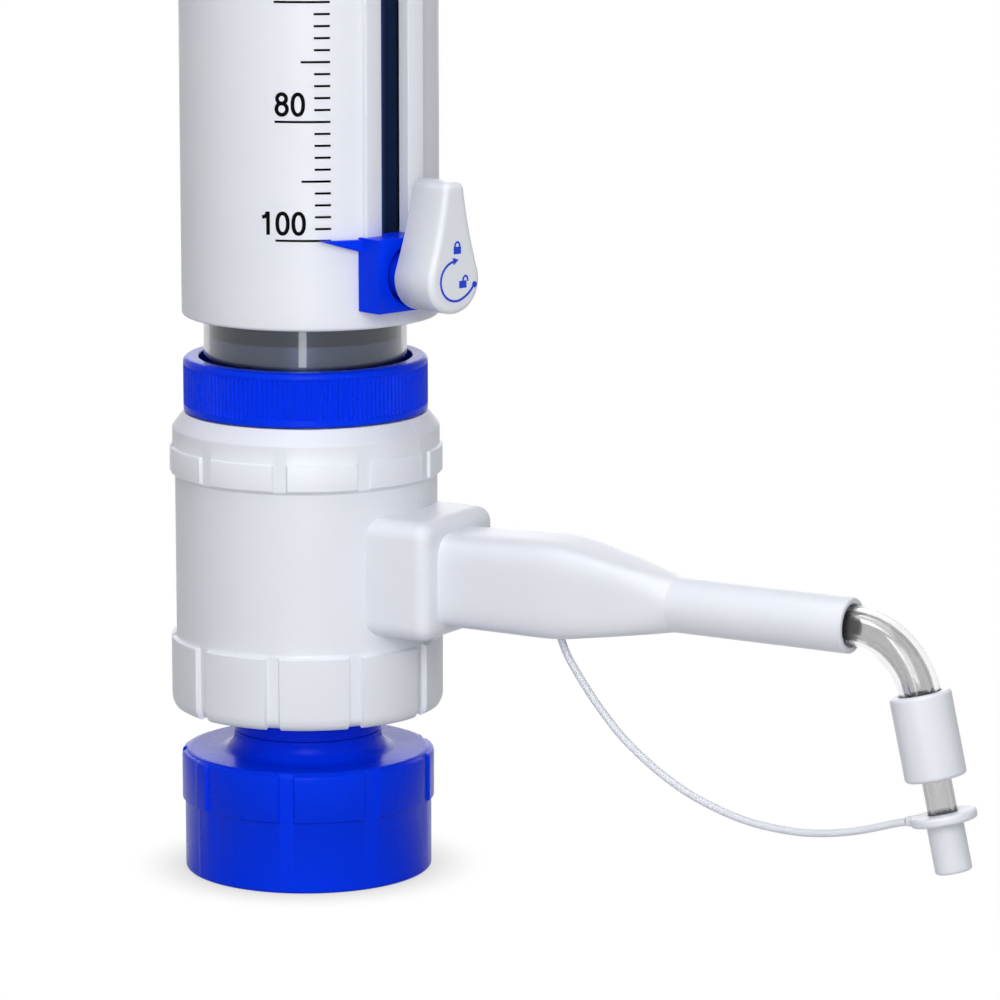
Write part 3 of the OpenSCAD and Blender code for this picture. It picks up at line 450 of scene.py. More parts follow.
# %% Steel
def steel(name, slot, colour, shade, roughness, line_mm, stretch):
    """Lines are a noise whose coordinates are shrunk along one axis by stretch."""
    finish, tree, out, place = blank(name, slot)
    scale = tuple(1 / (line_mm * MM * factor) for factor in stretch)
    lines = add(tree, "ShaderNodeMapping", {"Vector": place, "Scale": scale}).outputs["Vector"]
    grain = noise(tree, lines, 1.0, 4, 0.6)
    skin = add(tree, "ShaderNodeBsdfPrincipled", {
        "Base Color": blended(tree, grain, paint(colour), paint(shade)), "Metallic": 1.0,
        "Roughness": remap(tree, grain, 0, 1, roughness - 0.05, roughness + 0.08),
        "Normal": bump(tree, grain, 0.002, 0.4),
    })
    tree.links.new(skin.outputs[0], out.inputs["Surface"])
    return finish


def by_height(finish, z_mm, soft_mm, factor):
    """Below the height the colour is multiplied by factor, a painted reflection of the
    bright parts round the foot, and the change is a soft step."""
    tree, socket, tint = base_colour(finish)
    place = add(tree, "ShaderNodeTexCoord").outputs["Object"]
    height = add(tree, "ShaderNodeSeparateXYZ", {"Vector": place}).outputs["Z"]
    level = remap(tree, height, (z_mm - soft_mm) * MM, (z_mm + soft_mm) * MM, factor, 1.0,
                  interpolation_type="SMOOTHSTEP")
    grey = add(tree, "ShaderNodeCombineColor", {"Red": level, "Green": level, "Blue": level})
    mixed = blended(tree, 1.0, tint, grey.outputs["Color"], blend_type="MULTIPLY")
    tree.links.new(mixed, socket)


jacket_steel = steel("drawn_steel_jacket", "steel jacket", "#40475A", "#373E4F",
                     0.42, 0.3, (1, 1, 60))
# Painted reflection: the jacket is made 2.6 times lighter below a line 4.6 mm above the ring.
PAINTED_REFLECTION_H, PAINTED_REFLECTION_SOFT, PAINTED_REFLECTION = 4.6, 0.35, 2.6
by_height(jacket_steel, high("union_ring")[2] + PAINTED_REFLECTION_H, PAINTED_REFLECTION_SOFT, PAINTED_REFLECTION)
hardware_steel = steel("turned_stainless_steel", "bright steel", "#C9CBCF", "#B7BABF",
                       0.25, 0.2, (4, 4, 1))
print("two steels")

# %% [markdown]
# The delivery tubes are clear fluoropolymer, which bends light less than glass and has
# a faint haze. The guard over the cylinder is clear styrene acrylonitrile, and the
# measuring cylinder is borosilicate glass. All three are solid walls in the mesh, so
# the rays bend in and out of them as they do in the real ones.

# %% Clear materials
def clear(name, slot, tint, ior, roughness, ripple_mm, ripple_depth_mm, haze=0, specular=0.5):
    """A transmitting skin with a slow ripple, as drawn tube has. haze is how much grey
    the wall takes up, in parts per metre, and specular is the strength of its gloss."""
    finish, tree, out, place = blank(name, slot)
    ripple = noise(tree, place, 1 / (ripple_mm * MM), 2, 0.5)
    skin = add(tree, "ShaderNodeBsdfPrincipled", {
        "Base Color": paint(tint), "Transmission Weight": 1.0, "IOR": ior,
        "Roughness": remap(tree, ripple, 0, 1, roughness * 0.6, roughness * 1.4),
        "Normal": bump(tree, ripple, ripple_depth_mm), "Specular IOR Level": specular,
    })
    tree.links.new(skin.outputs[0], out.inputs["Surface"])
    if haze:
        wall = add(tree, "ShaderNodeVolumeAbsorption", {"Color": paint("#CCCBCD"), "Density": haze})
        tree.links.new(wall.outputs[0], out.inputs["Volume"])
    return finish


clear_tubing = clear("clear_fluoropolymer_tube", "clear tubing", "#FAFAFA", 1.34, 0.05, 2.5, 0.02, 40)
core_tubing = clear("clear_fluoropolymer_core", "clear tubing", "#F0F0F0", 1.36, 0.08, 2.5, 0.03, 430)
clear_guard = clear("clear_moulded_guard", "clear guard", "#EEF0F2", 1.49, 0.05, 8, 0.004, 600, 0.16)
clear_glass = clear("borosilicate_glass", "clear glass", "#F3F7F8", 1.47, 0.01, 12, 0.002)
print("four clear materials")

# %% [markdown]
# The marks are pad printed: a thin film of ink, a little glossier than the plastic.

# %% Inks
black_ink = moulded("pad_printed_black_ink", "navy plastic", "#040405", "#020203",
                    0.5, 0.6, 0.001, 0.04)
blue_ink = moulded("pad_printed_blue_ink", "blue plastic", "#1544D8", "#103CCB",
                   0.4, 0.6, 0.001, 0.3)
print("two inks")

# %% [markdown]
# ## The tether
# A thin polyethylene strap joins the tip cap to the arm, so the cap isn't lost. It is
# stiff enough to hold one wide curve. The route repeats the frame's points, a smooth
# curve is laid through them, and a round section is carried along it.

# %% Route of the tether
TETHER_WIDTH = 1.6
TETHER_ROUTE = np.array([
    (62.5, 56.3), (64, 53), (66, 50), (68.2, 47), (70.6, 44), (73.3, 41), (76.2, 38),
    (79.4, 35.3), (82.8, 32.8), (86.4, 30.5), (90.2, 28.4), (94.2, 26.6), (98.4, 25.1),
    (102.6, 23.9), (107, 23), (111.4, 22.5), (115.8, 22.3), (120.2, 22.4), (124.6, 22.9),
    (129, 23.7), (133.3, 24.8), (137.4, 26.1), (140, 26.95), (142.5, 27.6),
])


def smooth_line(points, per_span):
    """Cubic through the points: between two of them, the slope at each is half the way
    from its neighbour before to its neighbour after."""
    ends = np.concatenate([[2 * points[0] - points[1]], points, [2 * points[-1] - points[-2]]])
    before, here, there, after = ends[:-3], ends[1:-2], ends[2:-1], ends[3:]
    t = (np.arange(per_span) / per_span)[None, :, None]
    before, here, there, after = (p[:, None] for p in (before, here, there, after))
    line = 0.5 * (2 * here + (there - before) * t
                  + (2 * before - 5 * here + 4 * there - after) * t**2
                  + (3 * here - before - 3 * there + after) * t**3)
    return np.concatenate([line.reshape(-1, points.shape[1]), points[-1:]])


# %% Sweep of a round section along a flat path
def sweep(path, slopes, radii, sides):
    """Ring i lies round path point i, which is (x, z) in the plane y = 0. Its point j is
    the path plus radius times (cos b of the normal, sin b of the Y axis)."""
    b = 2 * np.pi * np.arange(sides)[None, :] / sides
    normal = np.stack([-slopes[:, 1], slopes[:, 0]], 1)
    normal /= np.linalg.norm(normal, axis=1, keepdims=True)
    out = np.asarray(radii, float)[:, None] * np.cos(b)
    side = np.asarray(radii, float)[:, None] * np.sin(b)
    x = path[:, :1] + normal[:, :1] * out
    z = path[:, 1:] + normal[:, 1:] * out
    return np.stack([x, side, z], -1)


# %% Make the tether
def make_tether():
    """The route's section is constant. Its first and last point stand twice, once with
    no radius, which closes both ends."""
    route = smooth_line(TETHER_ROUTE, 5)
    twice = ((1, 1), (0, 0))
    slopes = np.pad(np.gradient(route, axis=0), twice, mode="edge")
    radii = np.pad(np.full(len(route), TETHER_WIDTH / 2), 1)
    rings = sweep(np.pad(route, twice, mode="edge"), slopes, radii, 20)
    tether = grid_piece("cap_strap", rings, None, white_plastic, ["cap_tether"], 60, wrap_rows=False)
    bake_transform(tether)


make_tether()

# %% [markdown]
# ## The bottle cap
# The blue cap screws onto the bottle. Nine wide pads round its upper part give the
# hand a hold, and a flared collar carries the neck. Only one profile turns round the
# axis, so a lathe makes it, and the pads are a lift of the radius with soft edges.

# %% Grip pads
PAD_SOFT = 0.4
WALL_R = 27
SEAM_WIDTH, SEAM_T = 0.3, 0.04


def pads(a, count, gap, start, up):
    """A soft step over each pad's width, times up, which says where along the profile the
    pads are. Widths in mm are measured at WALL_R. Gaps are centred on start."""
    pitch = 360 / count
    from_gap = np.abs((a - start + pitch / 2) % pitch - pitch / 2) - gap / 2
    return step(np.radians(from_gap) * WALL_R - PAD_SOFT / 2, PAD_SOFT) * up


def above(x, edge):
    """0 before the edge and 1 from one soft width after it."""
    return step(x - edge - PAD_SOFT / 2, PAD_SOFT)


def pad_edges(count, gap, start):
    """The angles of all pad edges, half a step in from each gap."""
    inset = math.degrees(PAD_SOFT / 2 / WALL_R)
    middle = start + np.arange(count) * 360 / count
    return np.sort(np.concatenate([middle - gap / 2 - inset, middle + gap / 2 + inset]) % 360)


def seam(a, place):
    """A fine ridge up the wall at one angle, where the mould's halves met. Its height is
    SEAM_T times (1 - d squared), where d is 1 at half its width."""
    away = np.radians((a - place + 180) % 360 - 180) * WALL_R / (SEAM_WIDTH / 2)
    return SEAM_T * np.clip(1 - away**2, 0, 1)


def seam_columns(place):
    """Five columns across the ridge."""
    return (place + np.degrees(SEAM_WIDTH / 2 / WALL_R) * np.linspace(-1, 1, 5)) % 360


# %% Make the bottle cap
NUT_PADS, NUT_GAP, NUT_START = 9, 6, -27
NUT_PAD_DEPTH = 0.6
NUT_PAD_HEIGHT = 10.75
NUT_SEAM = 242.4
NUT_WALL, NUT_ROOF_T, NUT_ROOF_R = 3.55, 5, 20.5
NUT_COLLAR_R, NUT_COLLAR_BORE, NUT_COLLAR_H = 15.7, 14.2, 4.2


def make_bottle_cap():
    """Corners from the thread's mouth, out, up over the shoulder and into the collar."""
    thread = next(m for m in frame["record"]["mounts"] if m["name"] == "bottle_thread")["dims"]
    bore, depth = thread["r_mm"], thread["length_mm"]
    outside = bore + NUT_WALL
    top = high("bottle_nut")[2]
    shoulder = top - NUT_COLLAR_H
    roof = shoulder - NUT_ROOF_T
    pad_low = shoulder - NUT_PAD_HEIGHT
    pad_end = outside - 0.45
    outline = rounded([
        (outside, 0, 0.7), (outside, shoulder, 1.3), (NUT_COLLAR_R, shoulder, 3),
        (NUT_COLLAR_R, top, 0.3), (NUT_COLLAR_BORE, top, 0.2), (NUT_COLLAR_BORE, roof, 0),
        (NUT_ROOF_R, roof, 0), (NUT_ROOF_R, depth, 0), (bore, depth, 0.2), (bore, 0, 0.5),
    ])
    spots = [(outside, pad_low + PAD_SOFT / 2), (pad_end + PAD_SOFT / 2, shoulder)]
    profile = with_rows(outline, spots, PAD_SOFT)
    angles = samples(0, 360, pad_edges(NUT_PADS, NUT_GAP, NUT_START), 1.2, 3)[:-1]
    angles = np.sort(np.concatenate([angles, seam_columns(NUT_SEAM)]))

    def lift(r, z, a):
        outer = (z < shoulder + 0.1) & (r > pad_end)
        up = above(z, pad_low) * above(r, pad_end) * outer
        return NUT_PAD_DEPTH * pads(a, NUT_PADS, NUT_GAP, NUT_START, up) + seam(a, NUT_SEAM) * outer

    rings = lathe(profile, angles, lift)
    grid_piece("bottle_screw_cap", rings, "bottle_cap", blue_plastic, ["bottle_nut"])


make_bottle_cap()

# %% [markdown]
# ## The valve housing
# The white housing is one moulding: two bands of grip pads, a soft foot, a chamfer
# under the ring and a boss for the arm. Its wall is turned like the cap's. The boss is
# a box with rounded edges: its section is a rounded rectangle that is carried out
# along X and drawn in by a quarter circle at its face.

# %% Make the housing
BODY_PADS, BODY_GAP, LOW_START, HIGH_START = 10, 5, 0, 4
BODY_R, LOW_BAND_T, LOW_PAD_T = 27.75, 0.1, 1.0
BAND_T, BODY_PAD_T = 0.5, 0.6
BODY_Z = 35.5
LOW_BAND, TOP_PADS, TOP_PLAIN, SHOULDER = 16, 5.5, 3.7, 3.2
FOOT_PAD_END = 26.6
FOOT_R, FOOT_NECK_R, FOOT_BORE, FOOT_DROP = 21.7, 17.1, 15.75, 1.9
TOP_R, SPIGOT_R, GUARD_SEAT_R = 25.8, 23.35, 21.45
INLET_R, INLET_FOOT, VALVE_R, VALVE_FOOT, NECK_R = 5, 54, 6.5, 45.5, 12


def make_housing():
    """The outline goes up the outside, over the spigot and down through the inside."""
    top = low("union_ring")[2] - 0.3
    spigot = high("valve_housing")[2]
    band, low_band = BODY_R + BAND_T, BODY_R + LOW_BAND_T
    shoulder = top - SHOULDER
    pads_top = shoulder - TOP_PLAIN
    pads_low = pads_top - TOP_PADS
    low_top = BODY_Z + LOW_BAND
    foot = BODY_Z - FOOT_DROP
    glass = high("measuring_cylinder")[0]
    guard_foot, gasket_foot = low("guard_tube")[2], low("cylinder_gasket")[2]
    outline = rounded([
        (FOOT_BORE, foot, 0.2), (FOOT_NECK_R, foot, 0.5), (FOOT_R, BODY_Z, 1.5),
        (low_band, BODY_Z, 2.4), (low_band, low_top - 0.5, 0.3), (BODY_R, low_top, 0.3),
        (BODY_R, pads_low - 1, 0.3), (band, pads_low - 0.5, 0.3), (band, shoulder, 0.8),
        (TOP_R, top, 0.4), (SPIGOT_R, top, 0), (SPIGOT_R, spigot, 0.3),
        (GUARD_SEAT_R, spigot, 0.2), (GUARD_SEAT_R, guard_foot, 0), (glass, guard_foot, 0),
        (glass, gasket_foot, 0), (INLET_R, gasket_foot, 0), (INLET_R, INLET_FOOT, 0),
        (VALVE_R, INLET_FOOT, 0), (VALVE_R, VALVE_FOOT, 0), (NECK_R, VALVE_FOOT, 0),
        (NECK_R, BODY_Z, 0), (FOOT_BORE, BODY_Z, 0),
    ])
    spots = [(FOOT_PAD_END, BODY_Z), (low_band, low_top - 0.7), (band, pads_low - 0.2),
             (band, pads_top - PAD_SOFT / 2)]
    profile = with_rows(outline, spots, PAD_SOFT)
    columns = np.concatenate([pad_edges(BODY_PADS, BODY_GAP, LOW_START),
                              pad_edges(BODY_PADS, BODY_GAP, HIGH_START)])
    angles = np.concatenate([samples(0, 360, columns, 1.2, 3)[:-1], seam_columns(0)])
    angles = np.unique(np.round(angles, 6))

    def lift(r, z, a):
        low_up = above(r, FOOT_PAD_END) * above(-z, 0.5 - low_top) * (z < low_top)
        high_up = above(z, pads_low - 0.5) * above(-z, -pads_top) * (r > BODY_R + 0.1)
        lower = pads(a, BODY_PADS, BODY_GAP, LOW_START, low_up)
        upper = pads(a, BODY_PADS, BODY_GAP, HIGH_START, high_up)
        return LOW_PAD_T * lower + BODY_PAD_T * upper + seam(a, 0) * (r > 25.9)

    rings = lathe(profile, angles, lift)
    grid_piece("housing_wall", rings, "valve_body", white_plastic, ["valve_housing"])


make_housing()


# %% Rounded boxes
def box_section(half_width, half_height, radius):
    """Rounded rectangle in the plane of Y and Z, with a quarter circle at each corner."""
    return rounded([
        (half_width, -half_height, radius), (half_width, half_height, radius),
        (-half_width, half_height, radius), (-half_width, -half_height, radius),
    ], 8)


def soft_box(x_back, x_front, half_width, half_height, corner, edge, centre):
    """The section is carried from x_back to x_front. Near the front it shrinks by
    edge (1 - cos u) while x grows by edge sin u, and both ends close on a pole."""
    u = np.linspace(0, np.pi / 2, 9)
    shrink = edge * (1 - np.cos(u))
    x = x_front - edge + edge * np.sin(u)
    section = box_section(half_width, half_height, corner)
    flat = np.stack([box_section(half_width - s, half_height - s, corner - min(s, corner - 0.05))
                     for s in shrink])
    back = np.stack([section, section])
    yz = np.concatenate([back[:1] * 0, back, flat, flat[-1:] * 0])
    xs = np.concatenate([[x_back, x_back, x_front - edge - HOLD], x, [x_front]])
    points = np.concatenate([np.broadcast_to(xs[:, None, None], (*yz.shape[:2], 1)), yz], -1)
    return points + np.asarray(centre, float)


# %% Make the boss
BOSS_X, BOSS_W, BOSS_H = 38.3, 14.1, 12.6
BOSS_UP = 0.9
arm_z = 66.3


def make_boss():
    """A soft box that starts inside the housing's wall and ends under the arm's root."""
    rings = soft_box(20, BOSS_X, BOSS_W, BOSS_H, 3.6, 3.0, (0, 0, arm_z + BOSS_UP))
    grid_piece("housing_boss", rings, "valve_body", white_plastic, sharp=50, wrap_rows=False)


make_boss()


# %% Parting lines on flat places
def ridge(name, path, out, body, finish):
    """Point (i, j) is the path's point i, moved across by half the width times t and out
    by the height times (1 - t squared). A flat row below closes the section."""
    side = np.cross(out, np.gradient(path, axis=0))
    side /= np.linalg.norm(side, axis=1, keepdims=True)
    t = np.linspace(-1, 1, 7)
    across = np.concatenate([t, [1, -1]])[None, :, None] * SEAM_WIDTH / 2
    up = np.concatenate([SEAM_T * (1 - t**2), [-0.05, -0.05]])[None, :, None]
    rings = path[:, None] + side[:, None] * across + out[:, None] * up
    first = np.broadcast_to(rings[:1].mean(axis=1, keepdims=True), rings[:1].shape)
    last = np.broadcast_to(rings[-1:].mean(axis=1, keepdims=True), rings[-1:].shape)
    rings = np.concatenate([first, rings, last])
    grid_piece(name, rings, body, finish, wrap_rows=False)


def boss_seam():
    """A straight line along the boss's top."""
    x = np.linspace(27.9, BOSS_X - 3.2, 4)
    path = np.stack([x, 0 * x, 0 * x + arm_z + BOSS_UP + BOSS_H], 1)
    ridge("boss_parting_line", path, np.tile([0.0, 0.0, 1.0], (4, 1)), "valve_body", white_plastic)


boss_seam()

# %% [markdown]
# ## The delivery arm
# The arm starts as a soft box and narrows to a round tube. In between, each section is
# a superellipse whose power falls from a box's to a circle's while its half width and
# half height shrink. The end is a thick wall with a round bore for the clear tubes.

# %% Make the arm
ARM_W, ARM_H, ARM_TUBE_R = 9.2, 9.9, 5.7
ARM_LIFT, ARM_RISE = 0.5, 0.4
TAPER_START, TAPER_END, ARM_END = 61, 90, 130
ARM_BORE = 4.45
BOX_POWER, ROUND_POWER = 4.4, 2


def arm_shape(x):
    """How far the taper has gone at x: it starts softly and ends firmly."""
    v = np.clip((x - TAPER_START) / (TAPER_END - TAPER_START), 0, 1)
    soft = 0.25
    return np.where(v < soft, v * v / (soft * (2 - soft)), (2 * v - soft) / (2 - soft))


def make_arm():
    """Rings of superellipses from the boss to the end, then the rim and the bore."""
    run = np.concatenate([[BOSS_X - 1, BOSS_X + 4, 50], samples(TAPER_START - 3, TAPER_END + 1,
                          [TAPER_END], 0.5, 1.2), [100, 115, ARM_END - 0.5]])
    done = arm_shape(run)[:, None]
    rise = ARM_RISE * np.clip((run[:, None] - BOSS_X) / (TAPER_START - BOSS_X), 0, 1)
    a = np.radians(round_angles(120))[None, :]
    power = 2 / (BOX_POWER - (BOX_POWER - ROUND_POWER) * done**3)
    width = ARM_W + (ARM_TUBE_R - ARM_W) * done
    height = ARM_H + rise + (ARM_TUBE_R - ARM_H - rise) * done
    c, s = np.cos(a), np.sin(a)
    y = width * np.sign(c) * np.abs(c) ** power
    z = height * np.sign(s) * np.abs(s) ** power + (ARM_LIFT + rise) * (1 - done)
    x = np.broadcast_to(run[:, None], y.shape)
    outside = np.stack([x, y, z], -1)
    rim = rounded([(ARM_END - 30, ARM_TUBE_R, 0), (ARM_END, ARM_TUBE_R, 0.5),
                   (ARM_END, ARM_BORE, 0.25), (ARM_END - 30, ARM_BORE, 0)])
    rim = rim[(rim[:, 0] > ARM_END - 0.5)]
    inside = np.concatenate([rim, [(ARM_END - 30, ARM_BORE), (ARM_END - 30, 0)]])
    ends = np.stack(np.broadcast_arrays(inside[:, :1], inside[:, 1:] * c, inside[:, 1:] * s), -1)
    foot = np.stack(np.broadcast_arrays(run[:1, None], 0 * c, 0 * c + 0.5), -1)
    rings = np.concatenate([foot, outside, ends]) + np.array([0, 0, arm_z])
    grid_piece("delivery_arm", rings, "valve_body", white_plastic, ["discharge_arm"], 28,
               wrap_rows=False)


make_arm()

# %% [markdown]
# ## The clear tubes
# A thin tube carries the liquid, and a wider one shields it from the arm to the
# collar. Both follow one path: along the arm, round the bend and straight down to the
# tip. The path is a function of the distance along it, and a closed profile of
# distance and radius is swept round it, out along the wall and back through the bore.

# %% Path of the tubes
BEND_X, BEND_R, BEND_ANGLE = 129.8, 15.8, math.radians(77)
TUBE_START = 34.4
COLLAR_DROP, COLLAR_L, COLLAR_R = -0.2, 17.3, 6.25
TIP_SHOW, TIP_IN = 7, 7.5
BEND_LENGTH = BEND_R * BEND_ANGLE


def tube_path(s):
    """Place and slope at the distance s past the bend's start, negative along the arm."""
    turn = np.clip(s / BEND_R, 0, BEND_ANGLE)
    past = np.maximum(s - BEND_LENGTH, 0)
    before = np.minimum(s, 0)
    slope = np.stack([np.cos(turn), -np.sin(turn)], 1)
    x = BEND_X + before + BEND_R * np.sin(turn) + past * np.cos(turn)
    z = arm_z - BEND_R * (1 - np.cos(turn)) - past * np.sin(turn)
    return np.stack([x, z], 1), slope


def make_tube(name, node, start, end, outer, bore, finish, sides=64):
    """Profile: the end ring at start, the outer wall, the end ring, and the bore back."""
    bend = np.linspace(0, BEND_LENGTH, 49)
    steady = np.concatenate([[start - BEND_X], np.linspace(start - BEND_X + 2, -1, 8), bend,
                             np.linspace(BEND_LENGTH + 1, BEND_LENGTH + end, 6)])
    s = np.concatenate([steady, steady[::-1]])
    radii = np.concatenate([np.full(len(steady), outer), np.full(len(steady), bore)])
    path, slopes = tube_path(s)
    grid_piece(name, sweep(path, slopes, radii, sides), "valve_body", finish, [node])


TUBE_END = COLLAR_DROP + COLLAR_L + TIP_SHOW + TIP_IN
make_tube("inner_delivery_tube", "discharge_tube", TUBE_START, TUBE_END, 3.0, 1.8, core_tubing)
make_tube("outer_delivery_tube", "outer_tube", 100, COLLAR_DROP + 5, 4.15, 3.1, clear_tubing)

# %% [markdown]
# ## The collar and the tip cap
# A white collar locks the two tubes together, and a small cap closes the tip. Both are
# turned round the tip's own axis, which leans thirteen degrees, so a helper carries a
# lathed shape from the upright to the tip's frame.

# %% The tip's frame
tip_spot, tip_slope = tube_path(np.array([BEND_LENGTH]))
TIP = np.array([tip_spot[0, 0], 0, tip_spot[0, 1]])
TIP_DOWN = np.array([tip_slope[0, 0], 0, tip_slope[0, 1]])
TIP_ACROSS = np.array([-TIP_DOWN[2], 0, TIP_DOWN[0]])


def at_tip(points):
    """(x, y, z) becomes x across, y as it is, and z up the tip's axis from its start."""
    return (TIP + points[..., :1] * TIP_ACROSS + points[..., 1:2] * np.array([0, 1, 0])
            - points[..., 2:] * TIP_DOWN)


def make_collar():
    """A sleeve with soft edges, bored for the outer tube above and the inner one below."""
    top, end = -COLLAR_DROP, -COLLAR_DROP - COLLAR_L
    outline = rounded([
        (COLLAR_R, end, 0.8), (COLLAR_R, top, 0.8), (4.45, top, 0.3), (4.45, top - 5, 0),
        (3.05, top - 5, 0), (3.05, end, 0.3),
    ])
    rings = at_tip(lathe(outline, round_angles(128)))
    grid_piece("tube_collar", rings, "valve_body", white_plastic, ["tip_collar"])


make_collar()

# %% Make the tip cap
CAP_R, CAP_FLANGE_R, CAP_FLANGE_T, CAP_L = 3.75, 6.75, 2, 12.1


def make_tip_cap():
    """Flange and body are one outline, with a blind bore from above."""
    top = -COLLAR_DROP - COLLAR_L - TIP_SHOW
    under = top - CAP_FLANGE_T
    end = top - CAP_L
    outline = rounded([
        (3.05, top, 0.25), (3.05, end + 3.5, 0), (0.001, end + 3.5, 0), (0.001, end, 0),
        (CAP_R, end, 0.6), (CAP_R, under, 0.5), (CAP_FLANGE_R, under, 0.7),
        (CAP_FLANGE_R, top, 0.7),
    ])
    rings = at_tip(lathe(outline, round_angles(128)))
    grid_piece("tip_closing_cap", rings, "tip_closure", white_plastic, ["tip_cap"])
    lug = soft_box(0, 3.0, 0.8, CAP_FLANGE_T / 2, 0.4, 0.3, (0, 0, 0))
    lug = lug * np.array([-1, 1, 1]) + np.array([-CAP_FLANGE_R + 1.4, 0, top - CAP_FLANGE_T / 2])
    grid_piece("cap_strap_lug", at_tip(lug), "tip_closure", white_plastic, sharp=50, wrap_rows=False)


make_tip_cap()

# %% [markdown]
# ## The union ring and the cylinder
# A blue ring with a fine upright knurl holds the cylinder on the housing. The knurl is
# a wave on the radius, flat on top and in its valleys, which fades out under the ring's
# plain bevelled edges. Behind it stand the clear guard and the steel jacket.

# %% Make the union ring
RING_R, RING_IN, RING_LIP_R = 25.8, 23.4, 22.55
KNURL_RIBS, KNURL_T = 148, 0.42


def rib_wave(a, count, reach, slope):
    """A trapezoid wave of the angle: 1 on each rib, 0 between two, with straight flanks."""
    return np.clip(reach - np.abs((a * count / 360) % 1 - 0.5) * slope, 0, 1)


def make_union_ring():
    """Radius less the gaps of the wave, between the two plain edges."""
    z0, z1 = low("union_ring")[2], high("union_ring")[2]
    lip = high("valve_housing")[2] + 1.5
    knurl_low, knurl_high = z0 + 1.5, z1 - 1.5
    inner = rounded([
        (RING_R, z1, 1.1), (RING_LIP_R, z1, 0.3), (RING_LIP_R, lip, 0), (RING_IN, lip, 0),
        (RING_IN, z0, 0.2), (RING_R, z0, 0.4),
    ])
    wall = samples(z0 + 0.6, z1 - 1.3, [knurl_low, knurl_high], 0.4, 2)
    profile = np.concatenate([np.stack([np.full(len(wall), RING_R), wall], 1), inner])

    def lift(r, z, a):
        up = step(z - knurl_low, 0.3) * step(knurl_high - z, 0.3)
        return np.where(r > RING_R - 0.02, -KNURL_T * up * (1 - rib_wave(a, KNURL_RIBS, 2.2, 7)), 0)

    rings = lathe(profile, round_angles(KNURL_RIBS * 10), lift)
    grid_piece("union_knurled_ring", rings, "valve_body", blue_plastic, ["union_ring"], 50)


make_union_ring()


# %% Make the plain tubes
def make_ring(name, node, outer, inner, z0, z1, edge, body, finish, count=240):
    """A plain tube between two heights, with its edges rounded."""
    outline = rounded([(outer, z0, edge), (outer, z1, edge), (inner, z1, edge), (inner, z0, edge)])
    grid_piece(name, lathe(outline, round_angles(count)), body, finish, [node])


def ring_of(name, node, wall, edge, body, finish):
    """The same from a node's own box and its wall."""
    outer = (high(node)[1] - low(node)[1]) / 2
    make_ring(name, node, outer, outer - wall, low(node)[2], high(node)[2], edge, body, finish)


make_ring("cylinder_guard", "guard_tube", 21.43, 20.47, low("guard_tube")[2],
          high("guard_tube")[2], 0.2, "valve_body", clear_guard)
ring_of("cylinder_steel_jacket", "cylinder_jacket", 0.5, 0.1, "valve_body", jacket_steel)
ring_of("glass_cylinder", "measuring_cylinder", 2, 0.4, "valve_body", clear_glass)
ring_of("zero_stop_ring", "zero_stop", 2.7, 0.3, "valve_body", navy_plastic)

# %% [markdown]
# ## The dosing sleeve
# The sleeve is a thin white shell round the cylinder, set off towards its slot, where
# two flat ribs stiffen it. Inside the slot a wider channel lets the stop's clamp grip
# from behind. Two grids with the same rows and columns give its outside and inside.
# The faces in the slot are left out, and strips along the slot's edges join the two.

# %% The sleeve's sections
SLEEVE_SHIFT, SLEEVE_R, SLEEVE_BORE = 1.8, 27.08, 24.25
SLOT_HALF, RIB_HALF, TEE_HALF = 3.6, 8.0, 7.0
LIP_IN = 26.03
RIB_DROP = 1
z_sleeve, z_sleeve_top = low("outer_sleeve")[2], high("outer_sleeve")[2]
z_slider = low("stop_slider")[2]
z_slot = z_slider - 0.4
z_slot_top = high("stop_slider")[2] + 109.84 + 1
z_roof = z_sleeve_top - 3


def sleeve_columns():
    """Outer section without and with the ribs, and the inner one without and with the
    channel, all with the same columns. Columns across the front are places along Y."""
    front = np.array([-9, -RIB_HALF - 0.25, -RIB_HALF, -RIB_HALF + 0.05, -RIB_HALF + 0.12,
                      -RIB_HALF + 0.25, -RIB_HALF + 0.4, -TEE_HALF - 0.02, -TEE_HALF, -SLOT_HALF - 0.3,
                      -SLOT_HALF - 0.12, -SLOT_HALF - 0.03, -SLOT_HALF])
    front = np.concatenate([front, -front[::-1]])
    across = np.abs(front)
    plain_x = np.sqrt(SLEEVE_R**2 - front**2)
    root = math.sqrt(SLEEVE_R**2 - RIB_HALF**2)
    corner = np.clip((RIB_HALF - across) / 0.4, 0, 1)
    rib_x = root + (SLEEVE_R - root - 0.4) * (across < RIB_HALF - 0.001) + 0.4 * np.sqrt(
        1 - (1 - corner) ** 2) * (across < RIB_HALF - 0.001)
    slot_edge = np.clip((across - SLOT_HALF) / 0.3, 0, 1)
    rib_x = np.where(across <= SLOT_HALF + 0.3,
                     SLEEVE_R - 0.3 + 0.3 * np.sqrt(1 - (1 - slot_edge) ** 2), rib_x)
    rib_x = np.where(across > RIB_HALF, plain_x, rib_x)
    bore_x = np.sqrt(SLEEVE_BORE**2 - front**2)
    channel_x = np.where(across <= TEE_HALF, LIP_IN, bore_x)

    def section(front_x, radius, shift):
        """The front's columns, then the circle from the last of them round to the first."""
        from_axis = math.asin(front[-1] / radius)
        a = np.linspace(from_axis, 2 * math.pi - from_axis, 150)[1:-1]
        around = np.stack([radius * np.cos(a), radius * np.sin(a)], 1)
        return np.concatenate([np.stack([front_x, front], 1), around]) + np.array([shift, 0])

    outer = [section(x, SLEEVE_R, SLEEVE_SHIFT) for x in (plain_x, rib_x)]
    inner = [section(x, SLEEVE_BORE, 0) for x in (bore_x, channel_x)]
    return *outer, *inner, len(front)


